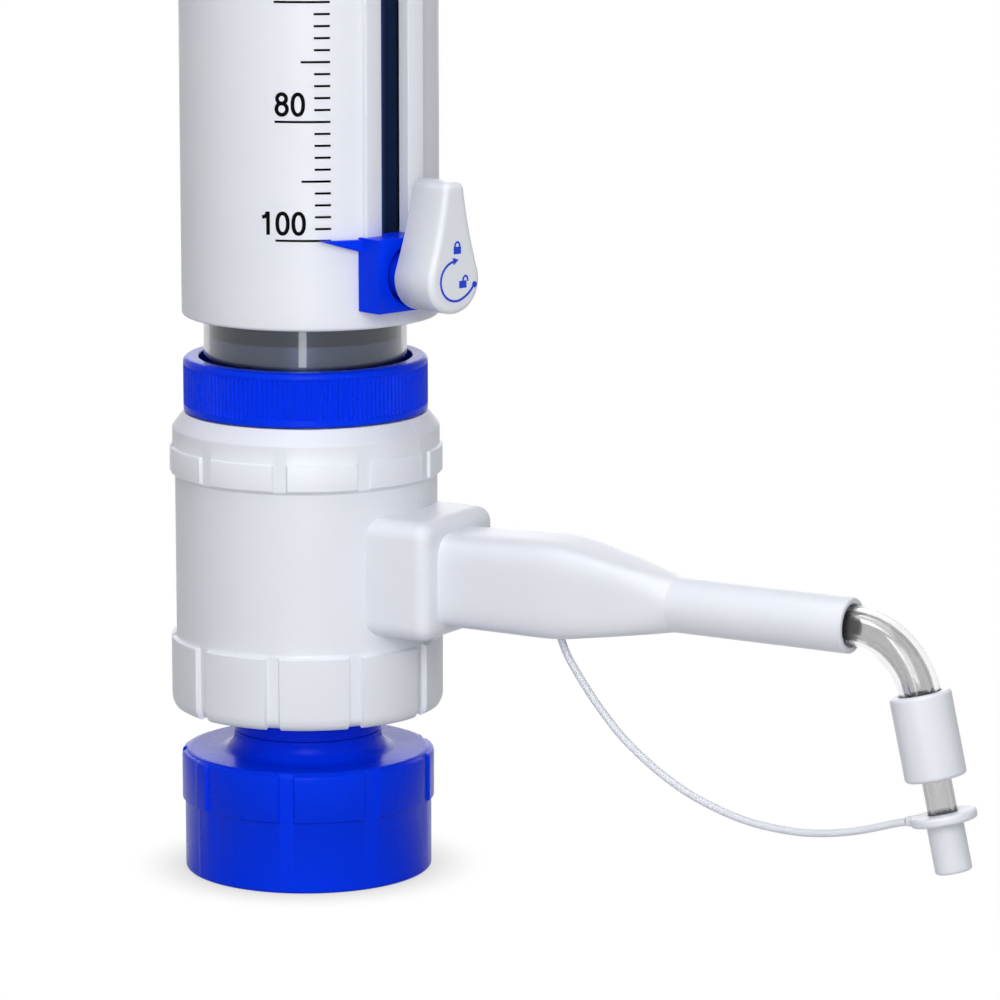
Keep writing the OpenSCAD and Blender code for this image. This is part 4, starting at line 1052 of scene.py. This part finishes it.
# %% Make the sleeve
RIM_ROUND = 0.8


def make_sleeve():
    """Rows are heights. A row's outside mixes the plain and the ribbed section by a soft
    step at the ribs' foot, and draws in by a quarter circle at the rim. Inside points
    are numbered after all outside ones. A strip joins each line of outside points, from
    a to b, with the same line inside: at the rim, at the top and round the slot."""
    plain, ribbed, bore, channel, fronts = sleeve_columns()
    rib_foot = z_slider + RIB_DROP
    u = np.linspace(0, np.pi / 2, 8)
    rim = z_sleeve + RIM_ROUND * (1 - np.cos(u))
    shrink = RIM_ROUND * (1 - np.sin(u))
    level = np.array([z_slot - 0.01, z_slot, rib_foot - 0.15, rib_foot, rib_foot + 0.15])
    climb = np.linspace(rib_foot + 4, z_slot_top - 4, 24)
    top = np.array([z_slot_top, z_slot_top + 0.01, z_sleeve_top - 0.2, z_sleeve_top])
    z = np.concatenate([rim, level, climb, top])
    shrink = np.concatenate([shrink, np.zeros(len(z) - len(shrink) - 1), [0.2]])
    ribs = step(z - rib_foot, 0.3)[:, None, None]
    outside = plain * (1 - ribs) + ribbed * ribs
    centre = np.array([SLEEVE_SHIFT, 0])
    out = outside - centre
    outside = centre + out * (1 - shrink[:, None, None] / np.linalg.norm(out, axis=-1, keepdims=True))
    in_slot = ((z > z_slot - 0.005) & (z < z_slot_top + 0.005))[:, None, None]
    inside = np.where(in_slot, channel, bore)
    rows, cols = outside.shape[:2]
    tall = np.broadcast_to(z[:, None, None], (rows, cols, 1))
    shell = np.concatenate([np.concatenate([outside, tall], -1), np.concatenate([inside, tall], -1)])
    faces = grid_faces(rows, cols, wrap_rows=False)
    row, col = np.divmod(np.arange(len(faces)), cols)
    slot_low, slot_high = len(rim) + 1, rows - 4
    left, right = fronts // 2 - 1, fronts // 2
    kept = faces[(col != left) | (row < slot_low) | (row >= slot_high)]
    point = np.arange(rows * cols).reshape(rows, cols)
    r = np.arange(slot_low, slot_high)
    edges = [
        (point[0], np.roll(point[0], -1)), (np.roll(point[-1], -1), point[-1]),
        (point[r, left], point[r + 1, left]), (point[r + 1, right], point[r, right]),
        (point[[slot_low], right], point[[slot_low], left]),
        (point[[slot_high], left], point[[slot_high], right]),
    ]
    strips = [np.stack([a, a + point.size, b + point.size, b], 1) for a, b in edges]
    faces = np.concatenate([kept, kept[:, ::-1] + point.size, *strips])
    points = turned(shell.reshape(-1, 3), SLOT_ANGLE)
    piece("dosing_sleeve", points, faces, "sleeve", white_plastic, ["outer_sleeve"], sharp=30)


make_sleeve()

# %% [markdown]
# The sleeve's roof carries the piston rod and is closed by a blue cap with a ribbed
# grip. The photograph ends below it, so its shape is the usual one for such a pump.

# %% Make the roof and the top cap
TOP_RIBS, TOP_RIB_T = 72, 0.6


def make_top():
    """The cap's outline closes on the axis, and its ribs are a wave on the radius."""
    z0, z1 = low("top_cap")[2], high("top_cap")[2]
    edge = SLEEVE_R - 0.4
    inner = rounded([
        (edge, z0 + 2, 0.2), (edge - 0.05, z1, 1.6), (0.001, z1, 0), (0.001, z0, 0), (edge, z0, 0.3),
    ])
    wall = samples(z0 + 2.4, z1 - 2.2, [z0 + 2.8, z1 - 2.6], 0.5, 2)
    grip = np.stack([np.full(len(wall), edge - 0.02), wall], 1)
    start = np.flatnonzero(inner[:, 1] > z1 - 2)[0]
    profile = np.concatenate([inner[:start], grip, inner[start:]])

    def lift(r, z, a):
        up = step(z - z0 - 2.8, 0.4) * step(z1 - 2.6 - z, 0.4)
        return np.where(r > edge - 0.1, -TOP_RIB_T * up * (1 - rib_wave(a, TOP_RIBS, 2.4, 8)), 0)

    rings = lathe(profile, round_angles(TOP_RIBS * 12), lift) + np.array([SLEEVE_SHIFT, 0, 0])
    grid_piece("sleeve_top_cap", turned(rings, SLOT_ANGLE), "sleeve", blue_plastic, ["top_cap"], 45)
    roof = rounded([(3.02, z_roof, 0), (SLEEVE_BORE - 0.01, z_roof, 0),
                    (SLEEVE_BORE - 0.01, z_sleeve_top - 0.1, 0), (3.02, z_sleeve_top - 0.1, 0)])
    grid_piece("sleeve_roof", lathe(roof, round_angles(120)), "sleeve", white_plastic)


make_top()

# %% [markdown]
# ## The volume stop
# The blue stop slides in the slot. Its block wraps the sleeve's ribs, has a round
# recess for the lever's hub and ends in a pointer that reads the scale. Its shape is
# the frame's own, copied, merged and given a small bevel, because every face of it is
# flat or a plain cylinder.

# %% Bevelled copy of a node
def bevelled(name, node, body, finish, width, angle=40):
    """A merged copy of a node's mesh, with its flat faces joined and its edges bevelled."""
    work = bmesh.new()
    work.from_mesh(nodes[node].data)
    bmesh.ops.remove_doubles(work, verts=work.verts, dist=1e-6)
    bmesh.ops.dissolve_limit(work, angle_limit=math.radians(1), verts=work.verts, edges=work.edges)
    mesh = bpy.data.meshes.new(name)
    work.to_mesh(mesh)
    work.free()
    mesh.polygons.foreach_set("use_smooth", np.ones(len(mesh.polygons), bool))
    made = placed(name, mesh, body, finish, [node])
    bevel = made.modifiers.new("soft edges", "BEVEL")
    bevel.width = width * MM
    bevel.segments = 3
    bevel.angle_limit = math.radians(angle)
    bevel.harden_normals = True
    print(name, len(mesh.polygons), "faces before the bevel")


bevelled("volume_stop_block", "stop_slider", "volume_stop", blue_plastic, 0.3)
bevelled("stop_lever_hub", "lever_hub", "lever", blue_plastic, 0.2)

# %% [markdown]
# ## The locking lever
# The white lever is a teardrop: a round hub below and a slim tip above. Its outline is
# an arc, a gentle curve and a small rounding, and the same outline is set in by a
# quarter circle at the front, so the front edge is soft.

# %% Outline of the lever
LEVER_R, LEVER_TIP, LEVER_L = 6.9, 2.8, 20.2
LEVER_BACK, LEVER_FRONT = 36.08, 47.38
LEVER_ROUND = 1.4
LEVER_LEAN = 1.2
z_pivot = 131.1


def lever_outline(grow):
    """Right side from the bottom up: arc, quadratic curve and tip arc, then mirrored."""
    r, w, top, c = LEVER_R + grow, LEVER_TIP + grow, LEVER_L + grow, max(1.9 + grow, 0.5)
    rise = math.radians(18)
    b = np.linspace(-np.pi / 2, rise, 25)[:-1]
    foot = np.stack([r * np.cos(b), r * np.sin(b)], 1)
    t = np.linspace(0, 1, 25)[:, None]
    p0 = np.array([r * math.cos(rise), r * math.sin(rise)])
    p1 = np.array([w + 1.1, LEVER_L * 0.52])
    p2 = np.array([w, top - c])
    side = p0 * (1 - t) ** 2 + p1 * 2 * t * (1 - t) + p2 * t**2
    q = np.linspace(0, np.pi / 2, 9)[1:]
    tip = np.stack([w - c + c * np.cos(q), top - c + c * np.sin(q)], 1)
    right = np.concatenate([foot, side, tip])
    left = right[::-1][:-1] * np.array([-1, 1])
    return np.concatenate([right, left])


def make_lever():
    """Rings of the outline from the back to the front, closed on a pole at each end. The
    back leans forwards towards the tip."""
    u = np.linspace(0, np.pi / 2, 8)
    front_x = LEVER_FRONT - LEVER_ROUND * (1 - np.sin(u))
    x = np.concatenate([[LEVER_BACK, LEVER_BACK, LEVER_BACK + 0.3, LEVER_FRONT - LEVER_ROUND - 0.05],
                        front_x, [LEVER_FRONT]])
    grow = np.concatenate([[-0.3, -0.3, 0, 0], LEVER_ROUND * (np.cos(u) - 1), [-LEVER_ROUND - 0.06]])
    outlines = np.stack([lever_outline(g) for g in grow])
    middle = np.array([[0.0, 6.0]])
    outlines = np.concatenate([outlines[:1] * 0 + middle, outlines, outlines[:1] * 0 + middle])
    x = np.concatenate([x[:1], x, x[-1:]])
    share = ((LEVER_FRONT - x) / (LEVER_FRONT - LEVER_BACK))[:, None, None]
    lean = LEVER_LEAN * share * np.clip(outlines[..., 1:] / LEVER_L, 0, 1)
    rings = np.concatenate([x[:, None, None] + lean, outlines], -1) + np.array([0, 0, z_pivot])
    grid_piece("locking_lever", turned(rings, SLOT_ANGLE), "lever", white_plastic, ["lock_lever"], 50,
               wrap_rows=False)


make_lever()

# %% [markdown]
# ## The printed scale
# A short line stands for every two millilitres, a longer one for every ten, and a
# numbered one for every twenty. They are thin films that follow the sleeve's outside.
# A film is a thin ribbon along a path on a flat sheet, which is then laid on the plastic.

# %% Ink films
INK_LIFT, INK_T = 0.02, 0.03
Z_HUNDRED, MM_PER_ML = 138.45, 1.2204
TICK_RIGHT, TICK_WIDTH = -31.3, 0.46


def ribbon(path, width, closed=False):
    """A film along the path (u, v): two corners lie half the width to each side of every
    point, at the lift, and two lie the ink's thickness above them."""
    path = np.asarray(path, float)
    if closed:
        slope = np.roll(path, -1, axis=0) - np.roll(path, 1, axis=0)
    else:
        slope = np.gradient(path, axis=0)
    side = np.stack([-slope[:, 1], slope[:, 0]], 1) / np.linalg.norm(slope, axis=1, keepdims=True)
    side *= np.broadcast_to(np.asarray(width, float) / 2, len(path))[:, None]
    edges = np.stack([path - side, path - side, path + side, path + side], 1)
    lift = INK_LIFT + INK_T * np.array([0, 1, 1, 0])
    lift = np.broadcast_to(lift[None, :, None], (len(path), 4, 1))
    faces = grid_faces(len(path), 4, wrap_rows=closed)
    if not closed:
        ends = np.array([[0, 1, 2, 3], [3, 2, 1, 0]]) + np.array([[0], [(len(path) - 1) * 4]])
        faces = np.concatenate([faces, ends])
    return np.concatenate([edges, lift], -1).reshape(-1, 3), faces


def joined(parts):
    """Many films as one: a film's faces are moved on past the points of those before."""
    before = np.cumsum([0] + [len(points) for points, _ in parts])
    faces = [film + start for (_, film), start in zip(parts, before)]
    return np.concatenate([points for points, _ in parts]), np.concatenate(faces)


# %% Lines and arcs
def line(start, end, count=9):
    """Even points on a straight line."""
    return np.linspace(start, end, count)


def arc(centre, half_width, half_height, start, end, count=40, power=2.0):
    """Points of a superellipse between two angles, in degrees from the right side."""
    a = np.radians(np.linspace(start, end, count))
    c, s = np.cos(a), np.sin(a)
    return np.stack([centre[0] + half_width * np.sign(c) * np.abs(c) ** (2 / power),
                     centre[1] + half_height * np.sign(s) * np.abs(s) ** (2 / power)], 1)


def on_sleeve(flat):
    """(u, v, lift) in mm becomes a place on the sleeve: u runs round it from the slot's
    direction, v is the height and lift goes outwards."""
    a = flat[:, :1] / SLEEVE_R
    r = SLEEVE_R + flat[:, 2:]
    return turned(np.concatenate([SLEEVE_SHIFT + r * np.cos(a), r * np.sin(a), flat[:, 1:2]], 1),
                  SLOT_ANGLE)


# %% Make the scale's lines
def make_scale():
    """All lines of one kind are one piece."""
    volumes = np.arange(0, 101, 2)
    z = Z_HUNDRED + (100 - volumes) * MM_PER_ML
    right = math.radians(TICK_RIGHT) * SLEEVE_R
    kinds = [("scale_lines_short", -38.3, volumes % 10 != 0),
             ("scale_lines_middle", -44.0, volumes % 20 == 10),
             ("scale_lines_long", -55.6, volumes % 20 == 0)]
    for name, angle, chosen in kinds:
        left = math.radians(angle) * SLEEVE_R
        films = [ribbon(line((left, level), (right, level)), TICK_WIDTH) for level in z[chosen]]
        points, faces = joined(films)
        piece(name, on_sleeve(points), faces, "sleeve", black_ink, sharp=20)


make_scale()

# %% [markdown]
# The numbers are drawn with strokes of one width, as a plain sans serif face has them.
# Each digit is a few centre lines in millimetres from its lower left corner.

# %% Digits
STROKE = 0.78
DIGIT_STEP = 3.33
DIGIT_RIGHT = 3.04
DIGIT_LIFT = 1.15
NUMBER_RIGHT = -42.4
DIGITS = {
    "0": [(arc((1.64, 2.4), 1.1, 2.1, 0, 351, power=2.25), True)],
    "1": [(line((1.9, 0), (1.9, 4.8)), False),
          (smooth_line(np.array([(0.62, 3.66), (1.15, 3.74), (1.52, 4.0), (1.75, 4.6)]), 5), False)],
    "2": [(arc((1.62, 3.36), 1.08, 1.14, 174, -38), False),
          (smooth_line(np.array([(2.47, 2.66), (1.95, 2.08), (1.3, 1.55), (0.8, 1.0), (0.6, 0.3)]), 5),
           False),
          (line((0.3, 0.29), (2.98, 0.29)), False)],
    "4": [(line((2.25, 0), (2.25, 4.8)), False), (line((0.25, 1.36), (3.05, 1.36)), False),
          (line((0.42, 1.36), (2.12, 4.62)), False)],
    "6": [(arc((1.66, 1.56), 1.08, 1.27, 0, 351), True),
          (arc((1.66, 2.4), 1.12, 2.11, 36, 195), False)],
    "8": [(arc((1.64, 1.46), 1.1, 1.17, 0, 351), True), (arc((1.64, 3.57), 0.95, 0.95, 0, 351), True)],
}


def make_numbers():
    """A number's right side is at a fixed angle, and its digits stand one step apart."""
    right = math.radians(NUMBER_RIGHT) * SLEEVE_R
    for value in range(0, 101, 20):
        text = str(value)
        parts = []
        for i, character in enumerate(text):
            corner = np.array([right - DIGIT_RIGHT - (len(text) - 1 - i) * DIGIT_STEP,
                               Z_HUNDRED + (100 - value) * MM_PER_ML + DIGIT_LIFT])
            parts += [ribbon(path + corner, STROKE, closed) for path, closed in DIGITS[character]]
        points, faces = joined(parts)
        piece(f"scale_number_{value}", on_sleeve(points), faces, "sleeve", black_ink, sharp=20)


make_numbers()

# %% [markdown]
# The lever carries the usual two signs: a closed padlock above and an open one beside
# the axis, with an arrow that runs round from one to the other.

# %% Make the lever's signs
def disc(centre, radius):
    """A round spot as a ribbon whose width at x is twice the root of r squared less x squared."""
    x = radius * np.cos(np.linspace(math.pi, 0, 15))
    width = np.maximum(2 * np.sqrt(np.maximum(radius**2 - x**2, 0)), 0.02)
    return ribbon(np.stack([centre[0] + x, centre[1] + 0 * x], 1), width)


def padlock(x, y, shift):
    """A block with an arc above it, moved sideways by shift when the lock is open."""
    body = ribbon(line((x - 1.0, y - 0.5), (x + 1.0, y - 0.5), 3), 1.5)
    bow = ribbon(arc((x + shift, y + 0.2), 0.66, 1.0, -8, 188, 20), 0.42)
    return [body, bow]


def on_lever(flat):
    """(u, v, lift) becomes a place on the lever's front, from its axis."""
    place = np.stack([LEVER_FRONT + flat[:, 2], flat[:, 0], flat[:, 1] + z_pivot], 1)
    return turned(place, SLOT_ANGLE)


def make_signs():
    """An arc of two thirds of a turn leads from an arrow at the top to a dot on the right."""
    a = np.radians(np.linspace(98, 342, 60))
    radius = 4.1 + 0.8 * np.clip((a - math.radians(290)) / math.radians(52), 0, 1) ** 2
    bow = ribbon(np.stack([radius * np.cos(a), radius * np.sin(a)], 1), 0.5)
    arrow = ribbon(line((-0.75, 4.1), (0.75, 4.35), 7), np.linspace(1.6, 0.04, 7))
    points, faces = joined([bow, arrow, disc((5.1, -1.1), 0.65), *padlock(0.4, 6.8, 0),
                            *padlock(1.9, -0.3, 0.7)])
    piece("lever_lock_signs", on_lever(points), faces, "lever", blue_ink, sharp=20)


make_signs()


# %% Parting line under the stop
def sleeve_seam():
    """A line up the sleeve's front, from its rim to the stop."""
    v = np.linspace(z_sleeve + RIM_ROUND, z_slider - 0.5, 4)
    u = np.full(4, math.radians(1.4) * SLEEVE_R)
    path = on_sleeve(np.stack([u, v, 0 * v], 1))
    out = on_sleeve(np.stack([u, v, 0 * v + 1], 1)) - path
    ridge("sleeve_parting_line", path, out, "sleeve", white_plastic)


sleeve_seam()

# %% [markdown]
# ## What stays from the frame
# The remaining nodes are simple solids that are hidden or flat sided. They keep the
# frame's shape and get their finish here.

# %% Finish the remaining nodes
STAYS = {
    blue_plastic: ["neck_insert"],
    white_plastic: ["tether_anchor"],
    navy_rail: ["stop_rail"],
    fluoropolymer: ["intake_nipple", "inlet_valve_seat", "inlet_valve_cage", "outlet_valve_seat",
                    "outlet_valve_holder", "piston_head", "piston_seal"],
    gasket_foam: ["bottle_gasket"],
    gasket_rubber: ["cylinder_gasket"],
    hardware_steel: ["piston_rod", "rod_nut", "clamp_shoe", "clamp_stud", "outlet_spring"],
    ceramic: ["inlet_ball", "outlet_ball"],
}
for finish, names in STAYS.items():
    for name in names:
        nodes[name].data.materials.clear()
        nodes[name].data.materials.append(finish)
print(sum(map(len, STAYS.values())), "nodes keep the frame's shape")

# %% [markdown]
# ## Floor and light
# The floor is a pale sheet that only has to hold the contact shadow, which is a painted
# shadow: the floor shows white to the camera, darkened by ambient occlusion near the
# object, so it fades into the white background away from it. The light is a plain studio
# set: a tall soft box beside the camera, a wide one above, weaker ones at both sides and
# behind, and an even pale surround. A strip near the object runs down the steel as a highlight.

# %% Rays that meet white
def seen_directly(tree):
    """1 for rays from the camera, from mirrors and from clear pieces, and 0 for others."""
    light = add(tree, "ShaderNodeLightPath")
    seen = light.outputs["Is Camera Ray"]
    for kind in ("Is Glossy Ray", "Is Transmission Ray"):
        seen = add(tree, "ShaderNodeMath", {0: seen, 1: light.outputs[kind]}, operation="ADD",
                   use_clamp=True).outputs[0]
    return seen


# %% Floor
# Reach and darkest level of the painted contact shadow.
PAINTED_SHADOW_REACH = 0.013
PAINTED_SHADOW_LEVEL = 0.7


def make_floor():
    """A wide square on which the cap stands. Diffuse rays meet lit paper. The camera,
    mirrors and clear pieces meet white with a painted contact shadow, a little darker where
    ambient occlusion finds the cap close."""
    half = 4.0
    z = low("bottle_nut")[2] * MM - 0.00002
    mesh = bpy.data.meshes.new("floor")
    mesh.from_pydata([(-half, -half, z), (half, -half, z), (half, half, z), (-half, half, z)], [],
                     [(0, 1, 2, 3)])
    floor = bpy.data.objects.new("floor", mesh)
    bpy.context.scene.collection.objects.link(floor)
    sheet = bpy.data.materials.new("pale_backdrop_paper")
    sheet.use_nodes = True
    tree = sheet.node_tree
    tree.nodes.clear()
    out = tree.nodes.new("ShaderNodeOutputMaterial")
    seen = seen_directly(tree)
    paper = add(tree, "ShaderNodeBsdfDiffuse", {"Color": paint("#B8B8B8")}).outputs[0]
    # Painted contact shadow: the white seen by the camera is darkened where ambient occlusion finds the
    # object close.
    painted_shadow_occlusion = add(tree, "ShaderNodeAmbientOcclusion", {"Distance": PAINTED_SHADOW_REACH},
                   samples=16).outputs["AO"]
    level = remap(tree, painted_shadow_occlusion, 0.45, 0.97, PAINTED_SHADOW_LEVEL, 1.0)
    glow = add(tree, "ShaderNodeEmission", {"Strength": level}).outputs[0]
    chosen = add(tree, "ShaderNodeMixShader", {0: seen, 1: paper, 2: glow}).outputs[0]
    tree.links.new(chosen, out.inputs["Surface"])
    mesh.materials.append(sheet)


make_floor()
print("floor with a contact shadow")


# %% Lamps
def lamp(name, place, size, watts, aim_z=0.1):
    """A soft box that faces the object. The camera doesn't see the box itself."""
    light = bpy.data.lights.new(name, "AREA")
    light.shape = "RECTANGLE"
    light.size, light.size_y = size
    light.energy = watts
    made = bpy.data.objects.new(name, light)
    made.location = place
    made.visible_camera = False
    aim = np.array([0.02, 0, aim_z]) - np.array(place)
    flat = math.hypot(aim[0], aim[1])
    made.rotation_euler = (math.atan2(flat, -aim[2]), 0, math.atan2(aim[1], aim[0]) - math.pi / 2)
    bpy.context.scene.collection.objects.link(made)
    print(name, "of", watts, "W")


def round_place(azimuth, elevation, distance):
    """A place at the view angle given: azimuth 0 is in front, on the -Y side."""
    a, e = math.radians(azimuth), math.radians(elevation)
    return (distance * math.sin(a) * math.cos(e), -distance * math.cos(a) * math.cos(e),
            distance * math.sin(e) + 0.1)


lamp("front soft box", round_place(33, 24, 1.3), (0.7, 0.9), 8.3)
lamp("left soft box", round_place(-25, 20, 1.5), (0.7, 0.9), 0.2)
lamp("right soft box", round_place(85, 25, 1.5), (0.6, 0.9), 1.2)
lamp("top soft box", round_place(20, 80, 1.3), (1.0, 1.0), 8.4)
lamp("back soft box", round_place(211, 6, 1.5), (0.9, 0.9), 3.6)
lamp("strip light", (0.4 * math.sin(math.radians(30)), -0.4 * math.cos(math.radians(30)), 0.2),
     (0.06, 0.4), 0.36, aim_z=0.2)

# %% Surround
SURROUND = 0.11


def make_world():
    """White for the camera, for mirrors and for clear pieces, and a weak cool light for
    all other rays."""
    world = bpy.data.worlds.new("studio")
    bpy.context.scene.world = world
    world.use_nodes = True
    tree = world.node_tree
    tree.nodes.clear()
    out = tree.nodes.new("ShaderNodeOutputWorld")
    seen = seen_directly(tree)
    soft = add(tree, "ShaderNodeBackground", {"Color": paint("#EEF2FF"), "Strength": SURROUND}).outputs[0]
    white = add(tree, "ShaderNodeBackground", {"Strength": 1.0, "Color": (1, 1, 1, 1)}).outputs[0]
    mixed = add(tree, "ShaderNodeMixShader", {0: seen, 1: soft, 2: white}).outputs[0]
    tree.links.new(mixed, out.inputs["Surface"])


make_world()
bpy.context.scene.view_settings.view_transform = "Standard"
print("a white surround of strength", SURROUND, "for diffuse rays")
